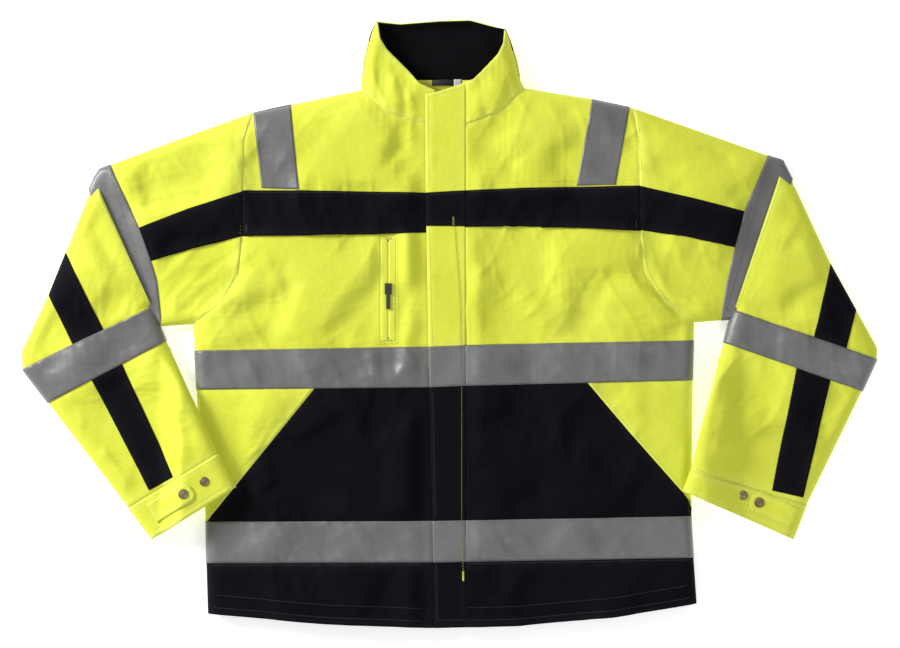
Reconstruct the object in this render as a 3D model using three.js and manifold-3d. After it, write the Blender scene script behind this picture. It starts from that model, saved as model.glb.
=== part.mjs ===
// High-visibility zip work jacket laid flat on its back.
// Millimetres, +Z up, +Y towards the collar, +X the wearer's left.
// The cloth is a hollow flattened shell that is cut into its sewn panels; tapes and
// bands lie one level above it, and every seam is a thin gap.
import * as THREE from "three";
import Module from "manifold-3d";

const wasm = await Module();
wasm.setup();

// ---- driving sizes -------------------------------------------------------------
const clothThickness = 2.0; // shell cloth with its lining
const tapeThickness = 1.0; // reflective tape, bands and braces
const seamGap = 0.3; // clearance left at every seam
const bodyLoft = 22.7; // height of the laid body's cloth
const tapeWidth = 50; // reflective tape
const bodyHalfWidth = 320; // centre to side edge at the armpit
const hemHalfWidth = 308; // centre to hem corner
const hemCentreY = -389; // lowest point of the hem
const hemCornerY = -369;
const hemBandTopY = -304;
const waistTapeTopY = -28;
const chestBandTopY = 171;
const chestBandHeight = 50;
const neckHalfWidth = 107; // at the collar seam
const neckSeamY = 288; // collar seam at the side of the neck
const neckDipY = 255; // collar seam at the front centre
const collarTopY = 387;
const collarTopHalfWidth = 81;
const shoulderHalfWidth = 243; // armhole seam at the shoulder
const shoulderSeamY = 272;
const armholeHalfWidth = 254; // armhole seam at chest level
const foldHalfWidthHem = 158; // where each front folds open at the hem
const braceShoulderX = 217; // middle of a shoulder brace on the shoulder
const braceChestX = 203; // middle of a shoulder brace at the chest band
const pocketTopX = 178; // upper end of a slanted hand pocket
const pocketLowX = 303; // lower end of a slanted hand pocket
const pocketLowY = -251;
const flapTopX = -22; // free edge of the storm flap at the neck
const flapHemX = -13; // free edge of the storm flap at the hem
const flapSeamX = 28; // sewn edge of the storm flap
const flapTopY = 297;
const flapClearance = 3.0; // storm flap above the cloth
const frontEdgeX = 9.5; // cloth edge of each front at the zip
const zipTopY = 286;
const toothPitch = 16;
const toothLength = 9;
const zipSliderLength = 20;
const pullLength = 26;
const chestZipX = -70;
const chestZipTopY = 108;
const chestZipLength = 128;
const chestZipWidth = 7.2;
const chestSliderY = 45;
const sleeveLoft = 22.4; // height of the laid lower sleeve
const pleatRadius = 183; // cloth tucked into the lower sleeve's mouth
const pleatClearance = 0.4; // between that tucked cloth's tape and the lower sleeve
const cuffHeight = 50;
const cuffClearance = 1.5; // between the cuff and the body's tapes below it
const liftStart = 44; // beside the body, where that rise starts
const liftEnd = 10; // and where it is complete
const stripeWidth = 38; // dark stripe along the lower sleeve
const tabWidth = 28;
const tabLength = 62;
const snapRadius = 6.5;
const snapHeight = 2.0;
const rimSegments = 4; // facets round a folded cloth edge

// Each sleeve is laid a little differently. Points are given for the +X side, from
// the armpit.
const sleeveLeft = {
  name: "left",
  side: 1,
  pleatTop: [124, 203],
  pleatLow: [53, 24],
  underarm: [36, 0],
  outer: [[182, 75], [237, -33], [218, -90]],
  inner: [[32, -24]],
  cuffOuter: [131, -276],
  cuffInner: [-14, -213],
  elbowUpper: [[237, -40], [46, 10]],
  elbowLower: [[216, -90], [32, -30]],
  stripe: [[150, 180], [200, -10], [178, -110], [105, -300]],
  stud: 0.58,
};
const sleeveRight = {
  name: "right",
  side: -1,
  pleatTop: [126, 200],
  pleatLow: [53, 24],
  underarm: [36, 0],
  outer: [[170, 88], [221, -33], [189, -100]],
  inner: [[35, -23]],
  cuffOuter: [55, -276],
  cuffInner: [-56, -206],
  elbowUpper: [[219, -56], [47, 10]],
  elbowLower: [[189, -102], [35, -33]],
  stripe: [[142, 180], [185, -30], [130, -130], [52, -240]],
  stud: 0.68,
};

// ---- levels --------------------------------------------------------------------
const clothLow = tapeThickness + seamGap;
const clothHigh = clothLow + bodyLoft;
const middleZ = (clothLow + clothHigh) / 2;
const tapeOut = tapeThickness + seamGap;
const cuffLift = bodyLoft + tapeOut + cuffClearance; // where the cuff lies over the body
const sleeveMiddleZ = clothLow + sleeveLoft / 2;
const pleatLoft = sleeveLoft - 2 * (clothThickness + tapeOut + pleatClearance);
const skyZ = 90;
const far = 900;
const flapLow = clothHigh + flapClearance;
const flapHigh = flapLow + clothThickness;

const material = (color, roughness, metalness) =>
  new THREE.MeshStandardMaterial({ color, roughness, metalness, flatShading: true });
const yellow = material(0xcfe233, 0.85, 0);
const navy = material(0x15151f, 0.85, 0);
const grey = material(0x9b9ba1, 0.45, 0);
const black = material(0x08080a, 0.7, 0);
const brass = material(0x8f8468, 0.4, 0.9);

// ---- geometry helpers ----------------------------------------------------------
const lerp = (a, b, t) => a + (b - a) * t;
const mix = (p, q, t) => [lerp(p[0], q[0], t), lerp(p[1], q[1], t)];
const minus = (p, q) => [p[0] - q[0], p[1] - q[1]];
const along = (p, d, t) => [p[0] + d[0] * t, p[1] + d[1] * t];
const unit = (d) => [d[0] / Math.hypot(...d), d[1] / Math.hypot(...d)];
const rightOf = (d) => [d[1], -d[0]];

function area(points) {
  return points.reduce((sum, p, i) => {
    const q = points[(i + 1) % points.length];
    return sum + (p[0] * q[1] - q[0] * p[1]) / 2;
  }, 0);
}

const anticlockwise = (points) => (area(points) < 0 ? [...points].reverse() : points);

// Moves every edge of an anticlockwise outline inwards by one distance.
function insetOutline(points, distance) {
  return points.map((p, i) => {
    const before = unit(minus(p, points[(i + points.length - 1) % points.length]));
    const after = unit(minus(points[(i + 1) % points.length], p));
    const bisector = [-(before[1] + after[1]), before[0] + after[0]];
    const cosine = -bisector[0] * after[1] + bisector[1] * after[0];
    return along(p, bisector, distance / cosine);
  });
}

function solid(vertices, triangles) {
  const mesh = new wasm.Mesh({
    numProp: 3,
    vertProperties: new Float32Array(vertices.flat()),
    triVerts: new Uint32Array(triangles.flat()),
  });
  return new wasm.Manifold(mesh);
}

// Joins a stack of rings with the same number of points into one closed body.
function stackRings(rings) {
  const count = rings[0].length;
  const vertices = rings.flat();
  const triangles = [];
  for (let level = 0; level + 1 < rings.length; level++) {
    for (let i = 0; i < count; i++) {
      const a = level * count + i;
      const b = level * count + ((i + 1) % count);
      triangles.push([a, b, b + count], [a, b + count, a + count]);
    }
  }
  const capOf = (ring) =>
    THREE.ShapeUtils.triangulateShape(ring.map((p) => new THREE.Vector2(p[0], p[1])), []);
  const top = (rings.length - 1) * count;
  for (const [a, b, c] of capOf(rings[0])) triangles.push([a, c, b]);
  for (const [a, b, c] of capOf(rings.at(-1))) triangles.push([top + a, top + b, top + c]);
  return solid(vertices, triangles);
}

function prism(points, low, high) {
  const outline = anticlockwise(points);
  return stackRings([low, high].map((z) => outline.map((p) => [...p, z])));
}

const box = (x0, x1, y0, y1, z0, z1) =>
  prism([[x0, y0], [x1, y0], [x1, y1], [x0, y1]], z0, z1);

function disc(centre, radius, low, high, sides = 16) {
  const points = Array.from({ length: sides }, (_, i) => {
    const turn = ((i + 0.5) / sides) * 2 * Math.PI;
    return [centre[0] + radius * Math.cos(turn), centre[1] + radius * Math.sin(turn)];
  });
  return prism(points, low, high);
}

// A flattened bag: its rim is half an ellipse, `rim` wide and as tall as the bag.
function bag(outline, low, high, rim, inset = 0) {
  const rings = [];
  for (let i = 0; i <= rimSegments; i++) {
    const turn = Math.PI * (i / rimSegments - 0.5);
    const in_ = inset + rim * (1 - Math.cos(turn));
    const z = lerp(low, high, (1 + Math.sin(turn)) / 2);
    rings.push(insetOutline(outline, in_).map((p) => [...p, z]));
  }
  return stackRings(rings);
}

const shell = (outline, low, high, rim, wall, inset = 0) =>
  bag(outline, low, high, rim, inset).subtract(
    bag(outline, low + wall, high - wall, rim - wall / 2, inset + wall),
  );

// Splits the triangles that cross a vertical plane a·x + b·y = c, so that a bend
// along that plane stays exact.
function splitAt(mesh, [a, b, c]) {
  const vertices = mesh.vertices.slice();
  const value = (i) => a * vertices[i][0] + b * vertices[i][1] - c;
  const cuts = new Map();
  const cut = (i, j) => {
    const key = i < j ? `${i}_${j}` : `${j}_${i}`;
    if (!cuts.has(key)) {
      const [p, q] = i < j ? [i, j] : [j, i];
      const t = value(p) / (value(p) - value(q));
      vertices.push(vertices[p].map((v, k) => lerp(v, vertices[q][k], t)));
      cuts.set(key, vertices.length - 1);
    }
    return cuts.get(key);
  };
  const tiny = 1e-3;
  const sideOf = (i) => (Math.abs(value(i)) < tiny ? 0 : Math.sign(value(i)));
  const triangles = [];
  for (const triangle of mesh.triangles) {
    const sides = triangle.map(sideOf);
    if (!(sides.includes(1) && sides.includes(-1))) {
      triangles.push(triangle);
      continue;
    }
    const zero = sides.indexOf(0);
    if (zero >= 0) {
      const [p, q, r] = [0, 1, 2].map((k) => triangle[(zero + k) % 3]);
      const m = cut(q, r);
      triangles.push([p, q, m], [p, m, r]);
      continue;
    }
    const lone = sides.findIndex((s) => sides.filter((t) => t === s).length === 1);
    const [p, q, r] = [0, 1, 2].map((k) => triangle[(lone + k) % 3]);
    const m = cut(p, q);
    const n = cut(p, r);
    triangles.push([p, m, n], [m, q, r], [m, r, n]);
  }
  return { vertices, triangles };
}

const product = new THREE.Group();
product.name = "work_jacket";

// Adds a body as a named mesh, bent by `bend` and mirrored for the -X side.
function add(name, body, paint, side = 1, bend = null) {
  const raw = body.getMesh();
  let mesh = { vertices: [], triangles: [] };
  for (let i = 0; i < raw.vertProperties.length; i += raw.numProp) {
    mesh.vertices.push(Array.from(raw.vertProperties.slice(i, i + 3)));
  }
  for (let i = 0; i < raw.triVerts.length; i += 3) {
    mesh.triangles.push(Array.from(raw.triVerts.slice(i, i + 3)));
  }
  if (bend) {
    for (const plane of bend.planes) mesh = splitAt(mesh, plane);
    mesh.vertices = mesh.vertices.map(bend.move);
  }
  if (side < 0) {
    mesh.vertices = mesh.vertices.map(([x, y, z]) => [-x, y, z]);
    mesh.triangles = mesh.triangles.map(([a, b, c]) => [a, c, b]);
  }
  const geometry = new THREE.BufferGeometry();
  geometry.setAttribute(
    "position",
    new THREE.Float32BufferAttribute(mesh.vertices.flat(), 3),
  );
  geometry.setIndex(mesh.triangles.flat());
  geometry.computeVertexNormals();
  const node = new THREE.Mesh(geometry, paint);
  node.name = name;
  product.add(node);
}

// ---- the body's cloth ----------------------------------------------------------
const bodyRim = 8;
const halfOutline = [
  [hemHalfWidth - 3, hemCentreY - 40],
  [hemHalfWidth, hemCornerY],
  [bodyHalfWidth + 2, -150],
  [bodyHalfWidth, 0],
  [bodyHalfWidth + 80, 2],
  [bodyHalfWidth + 80, shoulderSeamY - 52],
  [shoulderHalfWidth, shoulderSeamY],
  [neckHalfWidth, neckSeamY + 3],
  [collarTopHalfWidth, collarTopY],
  [collarTopHalfWidth - 3, collarTopY + 20],
];
const mirrored = (points) => points.map(([x, y]) => [-x, y]).reverse();
const bodyOutline = [...halfOutline, ...mirrored(halfOutline)];
const cloth = shell(bodyOutline, clothLow, clothHigh, bodyRim, clothThickness);
const overlay = shell(
  bodyOutline,
  clothLow - tapeOut,
  clothHigh + tapeOut,
  bodyRim + tapeOut / 2,
  tapeThickness,
  -tapeOut,
);

// The wearer's body is bounded by the armhole seams, the hem and the collar's top.
const armhole = [
  [shoulderHalfWidth, shoulderSeamY + 30],
  [shoulderHalfWidth, shoulderSeamY],
  [armholeHalfWidth, 235],
  [armholeHalfWidth, 115],
  [armholeHalfWidth + 8, 60],
  [armholeHalfWidth + 31, 24],
  [bodyHalfWidth + 1, -2],
];
const halfBody = [
  [0, hemCentreY],
  [hemHalfWidth / 2, hemCentreY + 4],
  [hemHalfWidth + 12, hemCornerY - 1],
  [bodyHalfWidth + 20, -150],
  [bodyHalfWidth + 20, -4],
  ...[...armhole].reverse(),
  [neckHalfWidth + 20, shoulderSeamY + 40],
  [neckHalfWidth, collarTopY],
  [0, collarTopY],
];
const halfPrism = prism(halfBody, -5, skyZ);
const half = cloth.intersect(halfPrism);
const halfOver = overlay.intersect(halfPrism);

const upper = box(-far, far, -far, far, middleZ + seamGap / 2, skyZ);
const lower = box(-far, far, -far, far, -5, middleZ - seamGap / 2);
const rows = (low, high) => box(-far, far, low, high, -5, skyZ);

// The fold line of a front, from the collar's side down to the hem.
const foldX = (y) => lerp(neckHalfWidth, foldHalfWidthHem, (neckSeamY - y) / (neckSeamY - hemCentreY));
const outside = (gap) =>
  prism([[foldX(-far) + gap, -far], [far, -far], [far, far], [foldX(far) + gap, far]], -5, skyZ);
const inside = (start, gap = seamGap / 2) =>
  prism([[start, -far], [foldX(-far) - gap, -far], [foldX(far) - gap, far], [start, far]], -5, skyZ);
const outerPart = outside(seamGap / 2);

const waistTapeLowY = waistTapeTopY - tapeWidth;
const hemTapeTopY = hemBandTopY + tapeWidth;
const lowerSeamY = waistTapeTopY - tapeWidth / 2;
const chestBandLowY = chestBandTopY - chestBandHeight;
const edge = seamGap / 2;

// Pieces of the wearer's back.
const mirrorBody = (body) => {
  const raw = body.getMesh();
  const vertices = [];
  const triangles = [];
  for (let i = 0; i < raw.vertProperties.length; i += raw.numProp) {
    vertices.push([-raw.vertProperties[i], raw.vertProperties[i + 1], raw.vertProperties[i + 2]]);
  }
  for (let i = 0; i < raw.triVerts.length; i += 3) {
    triangles.push([raw.triVerts[i], raw.triVerts[i + 2], raw.triVerts[i + 1]]);
  }
  return solid(vertices, triangles);
};
const halfBodyWide = prism(
  [[-1, hemCentreY], ...halfBody.slice(1, -1), [-1, collarTopY]],
  -5,
  skyZ,
);
const fullPrism = halfBodyWide.add(mirrorBody(halfBodyWide));
const full = cloth.intersect(fullPrism);
const fullOver = overlay.intersect(fullPrism);
const outerBoth = outerPart.add(mirrorBody(outerPart)).add(lower);
const neckLine = rows(neckSeamY + edge, far);
const belowNeck = rows(-far, neckSeamY - edge);

add("back_panel", full.intersect(lower).intersect(rows(hemBandTopY + edge, neckSeamY - edge)), yellow);
const wrap = (body, low, high) => body.intersect(rows(low, high)).intersect(outerBoth);
add("back_hem_band", wrap(full, -far, hemBandTopY - edge), navy);
add("back_waist_tape", wrap(fullOver, waistTapeLowY, waistTapeTopY), grey);
add("back_hem_tape", wrap(fullOver, hemBandTopY, hemTapeTopY), grey);
// The collar's sides stay with its back, so that each collar front lifts off them.
const collarFrontLow = clothHigh - clothThickness - 0.5;
const belowCollarFront = box(-far, far, -far, far, -5, collarFrontLow - seamGap);
add("collar_back", full.intersect(belowCollarFront).intersect(neckLine), yellow);

const liningInset = clothThickness + seamGap;
const lining = shell(
  bodyOutline,
  clothLow + liningInset,
  clothHigh - liningInset,
  bodyRim - liningInset / 2,
  1.4,
  liningInset,
);
const liningRows = rows(neckDipY + 5, collarTopY - 2);
const liningSpan = box(-neckHalfWidth - 6, neckHalfWidth + 6, -far, far, -5, skyZ);
add("collar_lining", lining.intersect(lower).intersect(liningRows).intersect(liningSpan), navy);

// The hang loop is a low arch of webbing on the lining.
const loopZ = clothLow + liningInset + 1.4 + seamGap;
const loopHalf = 17;
const loopRise = 5;
const arch = (halfLength, rise, low) =>
  [[-halfLength, low], [halfLength, low], [halfLength, low + 1.2], [halfLength * 0.6, low + rise],
    [-halfLength * 0.6, low + rise], [-halfLength, low + 1.2]];
const standing = (profile, y0, y1) => {
  const flat = anticlockwise(profile);
  const rings = [y1, y0].map((y) => flat.map(([x, z]) => [x, y, z]));
  const count = flat.length;
  const vertices = rings.flat();
  const triangles = [];
  for (let i = 0; i < count; i++) {
    const j = (i + 1) % count;
    triangles.push([i, j, j + count], [i, j + count, i + count]);
  }
  const caps = THREE.ShapeUtils.triangulateShape(flat.map((p) => new THREE.Vector2(...p)), []);
  for (const [a, b, c] of caps) {
    triangles.push([a, c, b], [count + a, count + b, count + c]);
  }
  return solid(vertices, triangles);
};
const loopSolid = standing(arch(loopHalf, loopRise, loopZ), 307, 313).subtract(
  standing(arch(loopHalf - 4, loopRise - 1.2, loopZ - 0.1), 306, 314),
);
add("hang_loop", loopSolid, black);

// ---- the sides of the body, outside each fold line ------------------------------
const pocketLine = (gap) => {
  const top = [pocketTopX, lowerSeamY + 30];
  const slope = unit(minus([pocketLowX, pocketLowY], [pocketTopX, waistTapeLowY]));
  const start = along([pocketTopX, waistTapeLowY], slope, -60);
  const end = [pocketLowX, pocketLowY];
  return [start, end].map(([x, y]) => [x + gap, y]).concat([[pocketLowX + gap, -far], [top[0], top[1]]]);
};
const beyondPocket = (gap) => {
  const [start, end, foot] = pocketLine(gap);
  return prism([start, end, foot, [far, -far], [far, far], [start[0], far]], -5, skyZ);
};
const braceQuad = (low, high, xLow, xHigh) => [
  [xLow - tapeWidth / 2, low],
  [xLow + tapeWidth / 2, low],
  [xHigh + tapeWidth / 2, high],
  [xHigh - tapeWidth / 2, high],
];
for (const [name, side] of [["right", -1], ["left", 1]]) {
  const top = half.intersect(upper).intersect(outerPart).intersect(belowNeck);
  add(`side_${name}_panel`, top.intersect(rows(lowerSeamY + edge, far)), yellow, side);
  const skirt = top.intersect(rows(hemBandTopY + edge, lowerSeamY - edge));
  add(`side_${name}_lower_panel`, skirt.subtract(beyondPocket(-edge)), navy, side);
  add(`side_${name}_gusset`, skirt.intersect(beyondPocket(edge)), yellow, side);
  const over = halfOver.intersect(upper).intersect(outerPart).intersect(belowNeck);
  add(`side_${name}_chest_band`, over.intersect(rows(chestBandLowY, chestBandTopY)), navy, side);
  const shoulderTop = shoulderSeamY + 40;
  const onFront = prism(
    braceQuad(chestBandTopY + seamGap, shoulderTop, braceChestX, braceShoulderX + 4),
    middleZ,
    skyZ,
  );
  const onBack = prism(
    braceQuad(waistTapeTopY + seamGap, shoulderTop, braceChestX - 40, braceShoulderX + 4),
    -5,
    middleZ + 0.01,
  );
  const braceSides = onFront.add(onBack);
  add(`brace_${name}_tape`, halfOver.intersect(braceSides), grey, side);
}

// ---- the two fronts ------------------------------------------------------------
const collarFrontEdge = (centreX) => [
  [centreX, neckDipY - 60],
  [far, neckDipY - 60],
  [far, far],
  [collarTopHalfWidth - 1, far],
  [collarTopHalfWidth - 1, collarTopY - 1],
  [centreX, neckSeamY + 14],
];
const collarSeam = (gap) => [
  [0, neckDipY + gap],
  [30, neckDipY + gap],
  [70, neckDipY + 14 + gap],
  [neckHalfWidth - 3, neckSeamY + gap],
  [far, neckSeamY + gap],
];
const frontTop = half.intersect(upper).intersect(inside(frontEdgeX));
const aboveSeam = prism([...collarSeam(edge), [far, far], [0, far]], -5, skyZ);
const belowSeam = prism([[0, -far], [far, -far], ...[...collarSeam(-edge)].reverse()], -5, skyZ);
const overStart = { right: frontEdgeX, left: flapSeamX + 2 * seamGap };
for (const [name, side] of [["right", -1], ["left", 1]]) {
  let chest = frontTop.intersect(belowSeam).intersect(rows(lowerSeamY + edge, far));
  if (name === "right") {
    const slot = chestZipWidth / 2 + seamGap;
    const low = chestZipTopY - chestZipLength;
    chest = chest.subtract(
      box(-chestZipX - slot, -chestZipX + slot, low - seamGap, chestZipTopY + seamGap, 0, skyZ),
    );
  }
  add(`front_${name}_panel`, chest, yellow, side);
  add(`front_${name}_lower_panel`, frontTop.intersect(rows(hemBandTopY + edge, lowerSeamY - edge)), navy, side);
  add(`front_${name}_hem_band`, frontTop.intersect(rows(-far, hemBandTopY - edge)), navy, side);
  const collar = half.intersect(prism(collarFrontEdge(frontEdgeX), collarFrontLow, skyZ));
  add(`collar_${name}_front`, collar.intersect(aboveSeam), yellow, side);
  const over = halfOver.intersect(upper).intersect(inside(overStart[name]));
  add(`front_${name}_chest_band`, over.intersect(rows(chestBandLowY, chestBandTopY)), navy, side);
  add(`front_${name}_waist_tape`, over.intersect(rows(waistTapeLowY, waistTapeTopY)), grey, side);
  add(`front_${name}_hem_tape`, over.intersect(rows(hemBandTopY, hemTapeTopY)), grey, side);
}

// ---- the main zip: an open-ended chain on each front, slider on the left one ------
const zipLowY = hemCentreY + 14;
const chainDepth = 3.6;
const chainStart = { right: 2.3, left: 1.0 };
const chainLow = clothHigh - clothThickness - 2.2;
const chainHigh = chainLow + 3.1;
const zipTapeHigh = clothHigh - clothThickness - seamGap;
const zipTapeLow = zipTapeHigh - 0.7;
function zipHalf(start) {
  const spine = start + chainDepth / 2;
  const comb = [[start + chainDepth, zipLowY], [start + chainDepth, zipTopY]];
  const count = Math.floor((zipTopY - zipLowY) / toothPitch);
  for (let i = count - 1; i >= 0; i--) {
    const y = zipLowY + (i + 0.5) * toothPitch;
    comb.push([spine, y + toothLength / 2], [start, y + toothLength / 2]);
    comb.push([start, y - toothLength / 2], [spine, y - toothLength / 2]);
  }
  comb.splice(2, 0, [spine, zipTopY]);
  comb.push([spine, zipLowY]);
  const chain = prism(comb, chainLow, chainHigh);
  return chain.add(box(start + chainDepth - 0.5, 24, zipLowY, zipTopY, zipTapeLow, zipTapeHigh));
}
add("zip_right_half", zipHalf(chainStart.right), black, -1);
add("zip_left_half", zipHalf(chainStart.left), black, 1);

const slide = 0.4; // running clearance of a slider on its chain
const sliderLowY = zipLowY + 8;
const sliderHighY = sliderLowY + zipSliderLength;
const sliderWall = 1.1;
const sliderBottom = chainLow - slide - sliderWall;
const sliderTop = chainHigh + slide + sliderWall;
const chainLeft = chainStart.left;
const postZ = 2.0;
const postY = sliderHighY - 7;
const postX = 3.5;
const sliderBody = box(-1.4, frontEdgeX - 0.5, sliderLowY, sliderHighY, sliderBottom, sliderTop)
  .subtract(
    box(chainLeft - slide, chainLeft + chainDepth + slide, sliderLowY - 1, sliderHighY + 1,
      chainLow - slide, chainHigh + slide),
  )
  .subtract(
    box(chainLeft + chainDepth, frontEdgeX + 1, sliderLowY - 1, sliderHighY + 1,
      zipTapeLow - slide, zipTapeHigh + slide),
  )
  .add(disc([postX, postY], 1.2, sliderTop - 0.5, sliderTop + postZ, 12));
add("zip_slider", sliderBody, brass);
const pull = prism(
  [[postX - 3.5, postY + 3], [postX + 3.5, postY + 3], [postX + 2.5, postY - pullLength],
    [postX - 2.5, postY - pullLength]],
  sliderTop + 0.3,
  sliderTop + 1.3,
).subtract(disc([postX, postY], 1.6, 0, skyZ, 12));
add("zip_pull", pull, brass);

// ---- the storm flap, sewn to the left front and lying over the zip ----------------
const flapFootX = flapSeamX - 6;
const flapProfile = [
  [flapTopX - 5, flapLow],
  [flapFootX, flapLow],
  [flapFootX, clothHigh + seamGap],
  [flapSeamX, clothHigh + seamGap],
  [flapSeamX, flapHigh],
  [flapTopX - 5, flapHigh],
];
const flapEdgeX = (y) => lerp(flapHemX, flapTopX, (y - hemCentreY) / (flapTopY - hemCentreY));
const flapPlan = (low, high) =>
  prism([[flapEdgeX(low), low], [40, low], [40, high], [flapEdgeX(high), high]], 0, skyZ);
const flapStrip = standing(flapProfile, hemCentreY + 3, flapTopY);
const flapPart = (low, high) => flapStrip.intersect(flapPlan(low, high));
add("storm_flap", flapPart(lowerSeamY + edge, flapTopY), yellow);
add("storm_flap_lower", flapPart(hemCentreY + 3, lowerSeamY - edge), navy);
const flapTape = (low, high) =>
  prism(
    [[flapEdgeX(low) + 0.5, low], [flapSeamX - 0.5, low], [flapSeamX - 0.5, high],
      [flapEdgeX(high) + 0.5, high]],
    flapHigh + seamGap,
    flapHigh + seamGap + tapeThickness,
  );
add("flap_chest_band", flapTape(chestBandLowY, chestBandTopY), navy);
add("flap_waist_tape", flapTape(waistTapeLowY, waistTapeTopY), grey);
add("flap_hem_tape", flapTape(hemBandTopY, hemTapeTopY), grey);

// ---- the chest pocket's zip on the right front -------------------------------------
const chestZipLow = chestZipTopY - chestZipLength;
const halfZip = chestZipWidth / 2;
const chestChain = box(chestZipX - halfZip, chestZipX + halfZip, chestZipLow, chestZipTopY,
  clothHigh - 1.8, clothHigh)
  .subtract(box(chestZipX - 1.2, chestZipX + 1.2, chestZipLow + 3, chestZipTopY - 3,
    clothHigh - 0.6, clothHigh + 1));
add("chest_zip", chestChain, black);
const chestSliderZ = clothHigh + 0.4;
const chestSlider = box(chestZipX - 4.5, chestZipX + 4.5, chestSliderY - 7, chestSliderY + 7,
  chestSliderZ, chestSliderZ + 2.2)
  .add(box(chestZipX - 2.5, chestZipX + 2.5, chestSliderY - 26, chestSliderY - 6,
    chestSliderZ + 1.2, chestSliderZ + 2.2));
add("chest_zip_slider", chestSlider, brass);

// ---- the sleeves --------------------------------------------------------------------
const sleeveRim = 4;
const tuckLow = sleeveMiddleZ - pleatLoft / 2;
const tuckHigh = sleeveMiddleZ + pleatLoft / 2;
const lowSleeve = clothLow;
const highSleeve = clothLow + sleeveLoft;

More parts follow.
